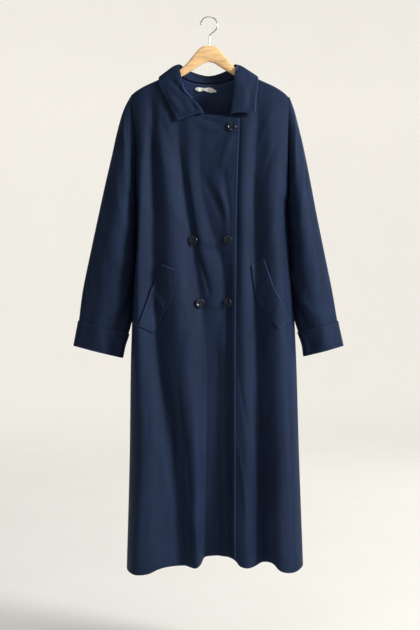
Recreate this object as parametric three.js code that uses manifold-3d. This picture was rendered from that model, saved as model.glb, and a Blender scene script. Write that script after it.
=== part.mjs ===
// A long double-breasted coat on a wooden hanger with a wire hook, as a three.js scene graph.
// Millimetres. +X runs to the right as the coat is looked at, +Y away from the viewer, +Z up.
// The origin is the inside of the hook's top, where the rail or nail carries it.
// Right and left in the names are the wearer's, so the right front lies on the -X side.

import * as THREE from 'three';
import Module from 'manifold-3d';
import { mergeVertices } from 'three/addons/utils/BufferGeometryUtils.js';

const wasm = await Module();
wasm.setup();

const { lerp, clamp, smoothstep } = THREE.MathUtils;

// Cloth walls and the clearances between pieces
const CLOTH = 2;
const COLLAR_CLOTH = 2.5;
const CUFF_CLOTH = 2.5;
const FLAP_CLOTH = 2.5;
const LABEL_CLOTH = 1;
const SEAM = 0.3;
const SLEEVE_SEAM = { right: -0.9, left: 1.4 };
const LAID_ON = 0.7;
const BUTTON_LIFT = 0.35;
const COLLAR_LIFT = 5.8;
const COLLAR_FOOT = 3.6;

// Neck, shoulders and armholes
const NECK_HALF = 80;
const NECK_TOP = -131;
const FRONT_NECK_DROP = 117;
const BACK_NECK_DROP = 32;
const RIGHT_COLLAR_END = -12;
const LEFT_COLLAR_END = 50;
const SHOULDER_ROUND = 10;
const SHOULDER_CURVE = 3;
const CHEST_FALL = 90;
const FOLD_FALL = 70;
const SIDE_SLOPE = { front: 0.4, back: 1.8 };
const ARMHOLE = { top: -198, bottom: -457, halfDepth: 24 };

// Buttons
const BUTTON = { radius: 11.5, rim: 4, dish: 2.2, dishRadius: 7.6, sides: 16 };

// Hook and hanger
const HOOK = { wire: 1.75, radius: 20.75, tip: 172, leave: -52, ball: 3, stem: 0.6, depth: 96 };
const HOOK_BEND = [
  { share: 0.55, below: 5.5 },
  { share: 0.9, below: 10 },
  { share: 1, below: 16 },
];
const HANGER = { end: 187, thick: 11, steps: 28, sides: 14, bore: 2.1, boreEnd: -96.5, boreLength: 60 };
const WOOD_SPREAD = 1.15;
const WOOD_SQUARENESS = 0.8;
const WOOD_TIP = { length: 14, slim: 0.62 };

// Top and underside of the wood by distance from the middle
const WOOD = [
  { x: 0, top: -70, under: -111 },
  { x: 12, top: -71, under: -114.5 },
  { x: 22, top: -76, under: -120.5 },
  { x: 34, top: -88.5, under: -128 },
  { x: 48, top: -106, under: -136.5 },
  { x: 62, top: -121, under: -145 },
  { x: 80, top: -135, under: -155 },
  { x: 100, top: -145.6, under: -166 },
  { x: 125, top: -158.6, under: -179 },
  { x: 160, top: -174.6, under: -196 },
  { x: 178, top: -185.5, under: -206 },
  { x: 187, top: -193, under: -209 },
];

// Height of the cloth over the hanger's arm by distance from the middle
const SHOULDER = [
  { x: 80, z: -131 },
  { x: 100, z: -142 },
  { x: 125, z: -155 },
  { x: 160, z: -171 },
  { x: 178, z: -181.5 },
  { x: 190, z: -190.5 },
  { x: 200, z: -201 },
];

// Outline of the body by height: its two sides, and how far the fronts and the back stand from the hanger
const BODY = [
  { z: -198, right: -196, left: 199.5, front: 47, back: 42 },
  { z: -310, right: -182, left: 196, front: 49, back: 46 },
  { z: -456, right: -180, left: 197, front: 51, back: 50 },
  { z: -560, right: -180, left: 201, front: 53, back: 54 },
  { z: -706, right: -190, left: 211, front: 55, back: 59 },
  { z: -860, right: -195, left: 218, front: 57, back: 64 },
  { z: -1100, right: -198, left: 225, front: 60, back: 71 },
  { z: -1372, right: -205, left: 235, front: 62, back: 78 },
];

// Heights at which the folds are given
const LEVELS = [
  { name: 'shoulder', z: -150 },
  { name: 'chest', z: -260 },
  { name: 'bust', z: -450 },
  { name: 'waist', z: -640 },
  { name: 'hip', z: -830 },
  { name: 'knee', z: -1080 },
  { name: 'hem', z: -1372 },
];

// Crests and troughs of the fronts from side to side. Each pair is the fold's place across and how far it
// stands out of the body's outline.
const FRONT_FOLDS = [
  { shoulder: [-172, 2], chest: [-166, 3], bust: [-168, 5], waist: [-173, 5],
    hip: [-171, 8], knee: [-160, 13], hem: [-172, 20] },
  { shoulder: [-145, -2], chest: [-141, -4], bust: [-137, -7], waist: [-134, -8],
    hip: [-127, -9], knee: [-88, -9], hem: [-58, -6] },
  { shoulder: [-112, 2], chest: [-119, 4], bust: [-100, 7], waist: [-88, 8],
    hip: [-66, 9], knee: [-37, 10], hem: [-30, 12] },
  { shoulder: [-80, -1], chest: [-80, -2], bust: [-58, -8], waist: [-30, -9],
    hip: [-6, -8], knee: [-6, -11], hem: [-10, -20] },
  { shoulder: [-50, 0], chest: [-50, 1], bust: [-40, -1], waist: [-3, -3],
    hip: [18, -8], knee: [20, -12], hem: [22, -20] },
  { shoulder: [-22, 0], chest: [-22, -1], bust: [-15, -5], waist: [36, -8],
    hip: [42, -6], knee: [44, -6], hem: [44, -12] },
  { shoulder: [74.5, 0], chest: [74.5, 1], bust: [68, 0], waist: [66, 0],
    hip: [64, 2], knee: [63.5, 5], hem: [63.5, 6] },
  { shoulder: [80, 1], chest: [84, 3], bust: [80, 4], waist: [80, 4],
    hip: [82, 5], knee: [84, 6], hem: [84, 7] },
  { shoulder: [118, -3], chest: [120, -4], bust: [110, -7], waist: [114, -8],
    hip: [117, -11], knee: [125, -13], hem: [128, -16] },
  { shoulder: [158, 2], chest: [156, 3], bust: [154, 5], waist: [161, 6],
    hip: [169, 8], knee: [174, 12], hem: [178, 16] },
];

// The same of the back
const BACK_FOLDS = [
  { shoulder: [-172, 1], chest: [-168, 2], bust: [-166, 4], waist: [-168, 6],
    hip: [-166, 8], knee: [-160, 11], hem: [-158, 15] },
  { shoulder: [-122, -2], chest: [-120, -4], bust: [-118, -6], waist: [-110, -8],
    hip: [-106, -9], knee: [-108, -11], hem: [-110, -13] },
  { shoulder: [-80, 1], chest: [-74, 3], bust: [-66, 5], waist: [-58, 7],
    hip: [-60, 9], knee: [-62, 12], hem: [-58, 15] },
  { shoulder: [-4, 0], chest: [-6, -2], bust: [-10, -5], waist: [-6, -7],
    hip: [0, -9], knee: [-4, -12], hem: [-8, -14] },
  { shoulder: [80, 1], chest: [66, 2], bust: [58, 5], waist: [60, 6],
    hip: [64, 9], knee: [62, 13], hem: [58, 17] },
  { shoulder: [124, -2], chest: [120, -4], bust: [118, -6], waist: [122, -8],
    hip: [120, -8], knee: [124, -10], hem: [128, -13] },
  { shoulder: [174, 1], chest: [166, 2], bust: [168, 4], waist: [176, 5],
    hip: [180, 8], knee: [182, 12], hem: [186, 15] },
];

// Hems by place across
const RIGHT_HEM = [
  { x: -205, z: -1370 },
  { x: -176, z: -1373 },
  { x: -147, z: -1371 },
  { x: -121, z: -1361 },
  { x: -95, z: -1357 },
  { x: -60, z: -1357 },
  { x: -34, z: -1359 },
  { x: -20, z: -1354 },
  { x: -12, z: -1342 },
  { x: 2, z: -1338 },
  { x: 36, z: -1337 },
  { x: 64, z: -1338 },
];
const LEFT_HEM = [
  { x: -50, z: -1333 },
  { x: 54, z: -1338 },
  { x: 66, z: -1345 },
  { x: 75, z: -1356 },
  { x: 97, z: -1361 },
  { x: 118, z: -1358 },
  { x: 133, z: -1351 },
  { x: 146, z: -1348 },
  { x: 158, z: -1351 },
  { x: 169, z: -1362 },
  { x: 184, z: -1368 },
  { x: 210, z: -1370 },
  { x: 235, z: -1364 },
];
const BACK_HEM = [
  { x: -205, z: -1366 },
  { x: -158, z: -1371 },
  { x: -108, z: -1363 },
  { x: -58, z: -1366 },
  { x: -6, z: -1359 },
  { x: 58, z: -1366 },
  { x: 126, z: -1360 },
  { x: 186, z: -1368 },
  { x: 235, z: -1362 },
];

// Where the columns of each panel stand: between which two folds, and at which shares of the way.
// Fold -1 is the right side and fold count is the left side.
const CORNER = [0, 0.22, 0.45, 0.7];
const HALF_WAVE = [0, 0.33, 0.67];
const RIGHT_COLUMNS = [
  { after: -1, at: CORNER },
  { after: 0, at: HALF_WAVE },
  { after: 1, at: HALF_WAVE },
  { after: 2, at: HALF_WAVE },
  { after: 3, at: [0, 0.01, 0.06, 0.2, 0.45, 0.72] },
  { after: 4, at: [0, 0.33, 0.67] },
  { after: 5, at: [0, 0.104, 0.4, 0.7, 1] },
];
const LEFT_COLUMNS = [
  { after: 6, at: [0, 0.53, 0.86, 0.965] },
  { after: 7, at: HALF_WAVE },
  { after: 8, at: HALF_WAVE },
  { after: 9, at: [0, 0.3, 0.55, 0.78, 1] },
];
const BACK_COLUMNS = [
  { after: -1, at: CORNER },
  { after: 0, at: HALF_WAVE },
  { after: 1, at: [0, 0.5] },
  { after: 2, at: [0, 0.01, 0.1, 0.28, 0.52, 0.76] },
  { after: 3, at: [0, 0.24, 0.48, 0.72, 0.9, 0.99] },
  { after: 4, at: [0, 0.5] },
  { after: 5, at: HALF_WAVE },
  { after: 6, at: [0, 0.3, 0.55, 0.78, 1] },
];

// The left front goes on under the right one: its columns there, from its hidden edge to the front edge
const FRONT_EDGE = { fold: 6, x: 74.5, corner: 75 };
const UNDERLAP_STILL = 36;
const UNDERLAP = [-49, -26, -3, 20, 36, 50, 55, 60.5, 66, 70.5];
const UNDERLAP_GAP = 0.9;
const HEM_GAP = 2.6;
const UNDERLAP_EASE = 9;
const UNDERLAP_EASE_WIDTH = 70;
const EDGE_EASE_WIDTH = 36;
const UNDERLAP_START = NECK_TOP - 20;
const UNDERLAP_RUN = 90;

// Rows of a panel, and the height from which its top edge is looked for
const PANEL_ROWS = 22;
const ROW_POWER = 2;
const TOP_GUESS = -200;
const TOP_STEPS = 12;
const HEM_LEVEL = LEVELS[LEVELS.length - 1].z;

// Sleeves from the armhole to the cuff: the outer and inner side of each ring, and its half depth
const RIGHT_SLEEVE = [
  { outX: -196.8, outZ: -198.5, inX: -181, inZ: -457.5, deep: 24 },
  { outX: -214, outZ: -233, inX: -183.5, inZ: -469, deep: 36 },
  { outX: -229, outZ: -285, inX: -184, inZ: -488, deep: 43 },
  { outX: -242, outZ: -345, inX: -184.5, inZ: -514, deep: 47 },
  { outX: -258, outZ: -415, inX: -185.5, inZ: -550, deep: 49 },
  { outX: -276, outZ: -497, inX: -188, inZ: -602, deep: 47 },
  { outX: -296, outZ: -590, inX: -194, inZ: -666, deep: 43 },
  { outX: -315, outZ: -682, inX: -200, inZ: -730, deep: 37 },
  { outX: -325, outZ: -757, inX: -206, inZ: -790, deep: 32 },
  { outX: -331, outZ: -789, inX: -211, inZ: -820, deep: 29 },
  { outX: -337, outZ: -820, inX: -217, inZ: -850, deep: 27 },
];
const LEFT_SLEEVE = [
  { outX: 200.3, outZ: -198.5, inX: 197.8, inZ: -457.5, deep: 24 },
  { outX: 214, outZ: -235, inX: 202, inZ: -469, deep: 36 },
  { outX: 226, outZ: -283, inX: 205.5, inZ: -488, deep: 43 },
  { outX: 239.5, outZ: -343, inX: 209, inZ: -514, deep: 47 },
  { outX: 253.5, outZ: -415, inX: 212.5, inZ: -550, deep: 50 },
  { outX: 269, outZ: -497, inX: 217, inZ: -602, deep: 49 },
  { outX: 288, outZ: -590, inX: 221, inZ: -666, deep: 46 },
  { outX: 307, outZ: -682, inX: 224, inZ: -730, deep: 41 },
  { outX: 320, outZ: -757, inX: 230, inZ: -785, deep: 37 },
  { outX: 327, outZ: -789, inX: 234, inZ: -816, deep: 34 },
  { outX: 334, outZ: -820, inX: 238, inZ: -846, deep: 32 },
];
const SLEEVE_SIDES = 18;
const SLEEVE_BACK = 4;
const SLEEVE_GROWN = 4;
const SLEEVE_TUCK = { behind: 16, pastSide: 4, slim: 0.75 };
const CUFF_RINGS = 3;

// Long folds of a sleeve: where round it, as a share of the turn, and how high
const SLEEVE_FOLDS = [
  { round: 0.12, width: 0.07, out: -4 },
  { round: 0.24, width: 0.08, out: 4 },
  { round: 0.37, width: 0.06, out: -4 },
  { round: 0.62, width: 0.08, out: -4 },
  { round: 0.82, width: 0.08, out: -4 },
];

// Crease of the collar, from its right end round the back to its left end
const COLLAR_CREASE = [
  { at: 0, x: -12, y: -45.5, z: -247 },
  { at: 0.3, x: -37.5, y: -44, z: -214 },
  { at: 0.62, x: -62, y: -36, z: -181.5 },
  { at: 0.85, x: -70, y: -20, z: -146 },
  { at: 1, x: -74.5, y: 0, z: -117.5 },
  { at: 1.35, x: -54, y: 19, z: -127 },
  { at: 2, x: -4, y: 27, z: -140 },
  { at: 2.6, x: 38, y: 21.5, z: -131 },
  { at: 3, x: 66.5, y: 0, z: -117.5 },
  { at: 3.3, x: 62.5, y: -23, z: -151 },
  { at: 3.6, x: 60, y: -37, z: -188 },
  { at: 4, x: 53, y: -49, z: -249 },
];

// Outer edge of the collar, which lies on the coat
const COLLAR_EDGE = [
  { at: 0, x: -78, y: -48, z: -265 },
  { at: 0.5, x: -100, y: -40, z: -219 },
  { at: 0.85, x: -122, y: -24, z: -175 },
  { at: 0.93, x: -125, y: -13, z: -158 },
  { at: 1, x: -125.5, y: 0, z: -148.5 },
  { at: 1.08, x: -125, y: 14, z: -157 },
  { at: 1.18, x: -118, y: 25, z: -170 },
  { at: 1.35, x: -100, y: 32, z: -182 },
  { at: 2, x: -2, y: 38, z: -204 },
  { at: 2.65, x: 98, y: 32, z: -182 },
  { at: 2.82, x: 116, y: 25, z: -170 },
  { at: 2.92, x: 122.5, y: 14, z: -157 },
  { at: 3, x: 122.5, y: 0, z: -147.5 },
  { at: 3.08, x: 122.5, y: -14, z: -158 },
  { at: 3.2, x: 121, y: -25, z: -176 },
  { at: 3.6, x: 116, y: -40, z: -214 },
  { at: 4, x: 113, y: -51, z: -247 },
];

// Points along a rib of the collar, how far it bulges, and the share from which it lies on the coat
const COLLAR_SHARES = [0, 0.16, 0.3, 0.4, 0.5, 0.66, 0.83, 1];
const COLLAR_BULGE = { stand: 0.6, top: [0.14, 5], fall: [0.55, 3.5], lift: 0.35, lying: 0.45 };
const NEAR_CREST = 0.95;

// Pocket flaps, from their upper to their lower end: the edge that opens and the edge that is sewn. Both
// edges run straight from row to row.
const RIGHT_FLAP = [
  { openX: -115, openZ: -620, sewnX: -83, sewnZ: -634 },
  { openX: -121, openZ: -635, sewnX: -80.5, sewnZ: -646 },
  { openX: -144, openZ: -685, sewnX: -86, sewnZ: -692 },
  { openX: -151, openZ: -706, sewnX: -91.5, sewnZ: -710 },
  { openX: -172, openZ: -770, sewnX: -138, sewnZ: -787 },
];
const LEFT_FLAP = [
  { openX: 136, openZ: -608, sewnX: 102.5, sewnZ: -623 },
  { openX: 146, openZ: -640, sewnX: 105, sewnZ: -648 },
  { openX: 158.5, openZ: -677, sewnX: 111, sewnZ: -681 },
  { openX: 174.5, openZ: -709, sewnX: 118.5, sewnZ: -712 },
  { openX: 188.5, openZ: -738, sewnX: 143, sewnZ: -743 },
  { openX: 195.5, openZ: -756, sewnX: 169, sewnZ: -776 },
];
const FLAP_GRID = { perRow: 3, across: 8 };
const FLAP_LIFT = LAID_ON + 1;

const BUTTONS = [
  { name: 'button_collar', x: 55.5, z: -281 },
  { name: 'button_chest_right', x: -36.8, z: -560 },
  { name: 'button_chest_left', x: 46.7, z: -559 },
  { name: 'button_waist_right', x: -23.6, z: -715 },
  { name: 'button_waist_left', x: 48.8, z: -713 },
];

const LABEL = { right: -35, left: 18, rightTop: -168, leftTop: -172, high: 12, columns: 6, rows: 3 };

const material = (color, roughness, metalness = 0) =>
  new THREE.MeshStandardMaterial({ color, roughness, metalness });
const gabardine = () => material(0x1d2a45, 0.75);
const horn = () => material(0x141a2a, 0.3);
const wood = () => material(0xdba968, 0.5);
const steel = () => material(0xc9c9c7, 0.25, 1);
const tape = () => material(0xeeeae2, 0.8);

// Reads one column of a table at a place between its rows, along a smooth curve through the rows.
function read(rows, key, at, value) {
  const up = rows[rows.length - 1][key] > rows[0][key];
  const place = up ? (row) => row[key] : (row) => -row[key];
  const want = up ? at : -at;
  if (want <= place(rows[0])) return value(rows[0]);
  if (want >= place(rows[rows.length - 1])) return value(rows[rows.length - 1]);
  const next = rows.findIndex((row) => place(row) > want);
  const slope = (i) => {
    const before = rows[Math.max(i - 1, 0)];
    const after = rows[Math.min(i + 1, rows.length - 1)];
    return (value(after) - value(before)) / (place(after) - place(before));
  };
  const a = rows[next - 1];
  const b = rows[next];
  const span = place(b) - place(a);
  const t = (want - place(a)) / span;
  const turn = t * t * (3 - 2 * t);
  return lerp(value(a), value(b), turn)
    + span * (t * (1 - t) * (1 - t) * slope(next - 1) - t * t * (1 - t) * slope(next));
}

const bodyAt = (z, name) => read(BODY, 'z', z, (row) => row[name]);
const shoulderAt = (x) => read(SHOULDER, 'x', Math.abs(x), (row) => row.z);

// Place and height of one fold at a height of the coat.
function foldAt(fold, z, part) {
  return read(LEVELS, 'z', z, (level) => fold[level.name][part]);
}

// Half depth of the armhole at a height: an ellipse from the shoulder's tip to the underarm.
function armholeAt(z) {
  const middle = (ARMHOLE.top + ARMHOLE.bottom) / 2;
  const half = (ARMHOLE.top - ARMHOLE.bottom) / 2;
  return ARMHOLE.halfDepth * Math.sqrt(Math.max(0, 1 - ((z - middle) / half) ** 2));
}

const FACES = {
  front: { folds: FRONT_FOLDS, sign: -1, slope: SIDE_SLOPE.front },
  back: { folds: BACK_FOLDS, sign: 1, slope: SIDE_SLOPE.back },
};

// Place across of a column that stands a share of the way from one fold to the next.
function columnX(face, column, z) {
  const { folds } = FACES[face];
  const placeOf = (i) => {
    if (i < 0) return bodyAt(z, 'right');
    if (i >= folds.length) return bodyAt(z, 'left');
    return foldAt(folds[i], z, 0);
  };
  const a = placeOf(column.after);
  const b = placeOf(column.after + 1);
  if (column.after < 0) return a + (b - a) * (1 - Math.cos((column.share * Math.PI) / 2));
  if (column.after >= folds.length - 1) return a + (b - a) * Math.sin((column.share * Math.PI) / 2);
  return lerp(a, b, column.share);
}

// Height of the folds at a place, rising and falling between crests and troughs as half waves.
function foldHeight(face, x, z) {
  const { folds } = FACES[face];
  let i = 0;
  while (i < folds.length - 1 && foldAt(folds[i + 1], z, 0) < x) i += 1;
  if (i === folds.length - 1 || x <= foldAt(folds[0], z, 0)) {
    return foldAt(i === folds.length - 1 ? folds[i] : folds[0], z, 1);
  }
  const a = foldAt(folds[i], z, 0);
  const b = foldAt(folds[i + 1], z, 0);
  const wave = (1 - Math.cos((Math.PI * (x - a)) / (b - a))) / 2;
  return lerp(foldAt(folds[i], z, 1), foldAt(folds[i + 1], z, 1), wave);
}

// 1 at the heights where a sleeve hangs against the body's side, easing to 0 at the underarm and the cuff.
const besideSleeve = (z) => smoothstep(-z, 460, 530) * (1 - smoothstep(-z, 770, 850));

// Outer surface of the body: it rounds the hanger's arm, falls to the chest, carries the folds, and turns
// into each side as a quarter of an ellipse. Beside the sleeve it turns in more slowly, so that the sides
// are slim there and leave the sleeve its room.
function surfaceY(face, x, z) {
  const { folds, sign, slope } = FACES[face];
  const drop = Math.max(0, shoulderAt(x) - z);
  const full = bodyAt(z, face);
  const round = SHOULDER_ROUND * (1 - Math.exp(-drop / SHOULDER_CURVE));
  const fall = (full - SHOULDER_ROUND) * (1 - Math.exp(-drop / CHEST_FALL));
  const depth = round + fall + foldHeight(face, x, z) * (1 - Math.exp(-drop / FOLD_FALL));
  const right = bodyAt(z, 'right');
  const left = bodyAt(z, 'left');
  const first = foldAt(folds[0], z, 0);
  const last = foldAt(folds[folds.length - 1], z, 0);
  const inward = x < first ? (x - right) / (first - right) : x > last ? (left - x) / (left - last) : 1;
  const near = clamp(inward, 0, 1);
  const turn = (1 - (1 - near) ** 2) ** (0.5 + slope * besideSleeve(z));
  const edge = Math.max(armholeAt(z), SEAM / 2);
  return sign * Math.max(edge + (depth - edge) * turn, SEAM / 2);
}

// Neckline of a front between the collar's end and the shoulder: a quarter of an ellipse.
function neckline(x, end) {
  const across = clamp((x - end) / (Math.sign(x) * NECK_HALF - end), 0, 1);
  return NECK_TOP - FRONT_NECK_DROP * Math.sqrt(1 - across * across);
}

// Top edge of the right front from the collar's end to the front edge, with a bend on the way
const TOP_EDGE = { dip: -256, share: 0.8, corner: -260 };

function rightTop(x) {
  if (x < -NECK_HALF) return shoulderAt(x);
  if (x < RIGHT_COLLAR_END) return neckline(x, RIGHT_COLLAR_END);
  const along = (x - RIGHT_COLLAR_END) / (FRONT_EDGE.corner - RIGHT_COLLAR_END);
  return along < TOP_EDGE.share
    ? lerp(NECK_TOP - FRONT_NECK_DROP, TOP_EDGE.dip, along / TOP_EDGE.share)
    : lerp(TOP_EDGE.dip, TOP_EDGE.corner, (along - TOP_EDGE.share) / (1 - TOP_EDGE.share));
}

function leftTop(x) {
  if (x > NECK_HALF) return shoulderAt(x);
  if (x > LEFT_COLLAR_END) return neckline(x, LEFT_COLLAR_END);
  return NECK_TOP - FRONT_NECK_DROP;
}

function backTop(x) {
  if (Math.abs(x) > NECK_HALF) return shoulderAt(x);
  return NECK_TOP - BACK_NECK_DROP * Math.sqrt(1 - (x / NECK_HALF) ** 2);
}

// Turns a table of columns into single columns, each a function of height that gives its place across.
function columnsOf(face, table) {
  return table.flatMap(({ after, at }) => at.map((share) => (z) => columnX(face, { after, share }, z)));
}

// Points of a panel: each column runs from its top edge to its hem, with closer rows near the shoulder.
function panelGrid(columns, topOf, hem, pointOf) {
  return columns.map((column) => {
    let top = TOP_GUESS;
    for (let i = 0; i < TOP_STEPS; i += 1) top = topOf(column(top));
    const bottom = read(hem, 'x', column(HEM_LEVEL), (row) => row.z);
    return Array.from({ length: PANEL_ROWS }, (_, j) => {
      const z = lerp(top, bottom, (j / (PANEL_ROWS - 1)) ** ROW_POWER);
      return pointOf(column(z), z);
    });
  });
}

// Direction of the surface at a point of a grid, from its neighbours.
function normalAt(grid, i, j, closed) {
  const rows = grid[0].length;
  const back = closed ? (j + rows - 1) % rows : Math.max(j - 1, 0);
  const on = closed ? (j + 1) % rows : Math.min(j + 1, rows - 1);
  const along = grid[Math.min(i + 1, grid.length - 1)][j].clone().sub(grid[Math.max(i - 1, 0)][j]);
  const across = grid[i][on].clone().sub(grid[i][back]);
  return along.cross(across).normalize();
}

// Moves every point of a grid along its surface's direction.
function moved(grid, distance, closed = false) {
  return grid.map((line, i) =>
    line.map((point, j) => point.clone().addScaledVector(normalAt(grid, i, j, closed), distance)));
}

// A closed wall between a surface and the same surface moved by the cloth's thickness.
function wallBetween(skin, lining, closed = false) {
  const lines = skin.length;
  const rows = skin[0].length;
  const points = [...skin.flat(), ...lining.flat()];
  const at = (layer, i, j) => layer * lines * rows + i * rows + (j % rows);
  const index = [];
  const quad = (a, b, c, d) => index.push(a, b, c, a, c, d);
  const last = closed ? rows : rows - 1;
  for (let i = 0; i < lines - 1; i += 1) {
    for (let j = 0; j < last; j += 1) {
      quad(at(0, i, j), at(0, i + 1, j), at(0, i + 1, j + 1), at(0, i, j + 1));
      quad(at(1, i, j), at(1, i, j + 1), at(1, i + 1, j + 1), at(1, i + 1, j));
    }
  }
  for (let j = 0; j < last; j += 1) {
    quad(at(0, 0, j), at(0, 0, j + 1), at(1, 0, j + 1), at(1, 0, j));
    quad(at(0, lines - 1, j + 1), at(0, lines - 1, j), at(1, lines - 1, j), at(1, lines - 1, j + 1));
  }
  for (let i = 0; !closed && i < lines - 1; i += 1) {
    quad(at(0, i + 1, 0), at(0, i, 0), at(1, i, 0), at(1, i + 1, 0));
    quad(at(0, i, rows - 1), at(0, i + 1, rows - 1), at(1, i + 1, rows - 1), at(1, i, rows - 1));
  }
  return facingOut(points, index);
}

// Signed volume, to turn a solid's faces outwards.
function facingOut(points, index) {
  let volume = 0;
  for (let i = 0; i < index.length; i += 3) {
    const [a, b, c] = [points[index[i]], points[index[i + 1]], points[index[i + 2]]];
    volume += a.dot(b.clone().cross(c));
  }
  const turned = volume < 0 ? index.slice().reverse() : index;
  const geometry = new THREE.BufferGeometry().setFromPoints(points);
  geometry.setIndex(turned);
  geometry.computeVertexNormals();
  return geometry;
}

// The side of a wall on which its lining lies is given by the sign of the thickness.
const wall = (grid, thickness, closed = false) => wallBetween(grid, moved(grid, thickness, closed), closed);

function piece(name, geometry, finish) {
  const mesh = new THREE.Mesh(geometry, finish);
  mesh.name = name;
  return mesh;
}

const onFace = (face, inset = 0) => (x, z) => {
  const y = surfaceY(face, x, z);
  return new THREE.Vector3(x, y - Math.sign(y) * inset, z);
};

const frontEdgeAt = (z) => foldAt(FRONT_FOLDS[FRONT_EDGE.fold], z, 0);

// The left front steps in under the right one, and comes out again past the front edge.
function underlapInset(x, z) {
  const edge = frontEdgeAt(z);
  const under = CLOTH + UNDERLAP_GAP + HEM_GAP * smoothstep(-z, 950, 1300);
  const out = under * (1 - smoothstep(x, edge, edge + EDGE_EASE_WIDTH));
  const deep = UNDERLAP_EASE * smoothstep(edge - x, 0, UNDERLAP_EASE_WIDTH);
  const near = smoothstep(UNDERLAP_START - z, 0, UNDERLAP_RUN);
  return (out + deep) * near;
}

function leftFrontPoint(x, z) {
  const y = surfaceY('front', x, z);
  return new THREE.Vector3(x, y + underlapInset(x, z), z);
}

const rightGrid = panelGrid(columnsOf('front', RIGHT_COLUMNS), rightTop, RIGHT_HEM, onFace('front'));
const backGrid = panelGrid(columnsOf('back', BACK_COLUMNS), backTop, BACK_HEM, onFace('back'));

// The hidden columns follow the front edge's lean, and stay where they are across.
const underlap = UNDERLAP.map((x) => {
  const share = Math.max(0, x - UNDERLAP_STILL) / (FRONT_EDGE.x - UNDERLAP_STILL);
  return (z) => x + share * (frontEdgeAt(z) - FRONT_EDGE.x);
});
const leftGrid = panelGrid(
  [...underlap, ...columnsOf('front', LEFT_COLUMNS)], leftTop, LEFT_HEM, leftFrontPoint);

// A panel's lining stays on the panel's own side of the seams at the shoulder and the side.
function panel(name, grid, face) {
  const { sign } = FACES[face];
  const lining = moved(grid, -sign * CLOTH);
  for (const point of lining.flat()) point.y = sign * Math.max(sign * point.y, SEAM / 2);
  return piece(name, wallBetween(grid, lining), gabardine());
}

// A sleeve's rings. The first is the armhole; each later one leans between its outer and inner side, which
// is slim and lies just behind the body's side.
function sleeveRings(rows, side) {
  const { behind, pastSide, slim } = SLEEVE_TUCK;
  return rows.map((row, ring) =>
    Array.from({ length: SLEEVE_SIDES }, (_, j) => {
      const round = j / SLEEVE_SIDES;
      const angle = round * 2 * Math.PI;
      const share = (1 + Math.cos(angle)) / 2;
      if (ring === 0) {
        const z = lerp(ARMHOLE.bottom, ARMHOLE.top, share);
        const x = bodyAt(z, side) + SLEEVE_SEAM[side];
        return new THREE.Vector3(x, -ARMHOLE.halfDepth * Math.sin(angle), z);
      }
      const tucked = besideSleeve(row.inZ) * (1 - smoothstep(-row.inZ, 700, 790));
      const past = bodyAt(row.inZ, side) + (side === 'right' ? pastSide : -pastSide);
      const inX = lerp(row.inX, past, tucked);
      const near = (1 - share) ** 2 * tucked;
      const grown = smoothstep(ring, 0, SLEEVE_GROWN);
      const fold = SLEEVE_FOLDS.reduce((sum, { round: at, width, out }) =>
        sum + out * grown * Math.exp(-(((round - at) / width) ** 2)), 0);
      const swell = -(row.deep + fold) * Math.sin(angle) * (1 - slim * near);
      const y = swell + SLEEVE_BACK * grown + behind * near;
      return new THREE.Vector3(lerp(inX, row.outX, share), y, lerp(row.inZ, row.outZ, share));
    }));
}

const rightRings = sleeveRings(RIGHT_SLEEVE, 'right');
const leftRings = sleeveRings(LEFT_SLEEVE, 'left');

// A sleeve's wall ends square at the armhole, so that its lining stays clear of the body.
function sleeve(name, rings, inward) {
  const lining = moved(rings, inward * CLOTH, true);
  lining[0].forEach((point, j) => { point.x = rings[0][j].x; });
  return piece(name, wallBetween(rings, lining, true), gabardine());
}

// A cuff is turned up round the sleeve's last rings.
function cuff(name, rings, outward) {
  const covered = rings.slice(-CUFF_RINGS);
  const inside = moved(covered, outward * LAID_ON, true);
  const outside = moved(covered, outward * (LAID_ON + CUFF_CLOTH), true);
  return piece(name, wallBetween(outside, inside, true), gabardine());
}

// Ribs of the collar stand on the neckline's own points, so that the seam stays even.
function neckRibs() {
  const tops = (grid, from, to) => grid.map((line) => line[0]).filter((p) => p.x >= from && p.x <= to);
  const across = (x, end) => clamp((x - end) / (Math.sign(x) * NECK_HALF - end), 0, 1);
  const turnOf = (x, end) => Math.acos(across(x, end)) / (Math.PI / 2);
  const right = tops(rightGrid, -NECK_HALF - 0.5, RIGHT_COLLAR_END + 1)
    .map((p) => ({ at: 1 - turnOf(p.x, RIGHT_COLLAR_END), foot: p })).reverse();
  const behind = tops(backGrid, -NECK_HALF + 1, NECK_HALF - 1)
    .map((p) => ({ at: 2 + p.x / NECK_HALF, foot: p }));
  const left = tops(leftGrid, LEFT_COLLAR_END - 0.5, NECK_HALF + 0.5)
    .map((p) => ({ at: 3 + turnOf(p.x, LEFT_COLLAR_END), foot: p })).reverse();
  return [...right, ...behind, ...left];
}

const curveAt = (rows, at) =>
  new THREE.Vector3(...['x', 'y', 'z'].map((key) => read(rows, 'at', at, (row) => row[key])));

// Keeps a point of the turned-down part clear of the coat beneath it: above the shoulder's round, and
// outside the front or back.
function clearOfBody(point) {
  const face = point.y < 0 ? 'front' : 'back';
  const { sign } = FACES[face];
  const away = Math.min(Math.abs(point.y) / SHOULDER_ROUND, NEAR_CREST);
  const round = shoulderAt(point.x) + SHOULDER_CURVE * Math.log(1 - away) + COLLAR_LIFT;
  const outside = Math.abs(surfaceY(face, point.x, point.z)) + COLLAR_LIFT;
  if (point.z >= round || Math.abs(point.y) >= outside) return point;
  if (away < NEAR_CREST) point.z = round;
  else point.y = sign * outside;
  return point;
}

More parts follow.
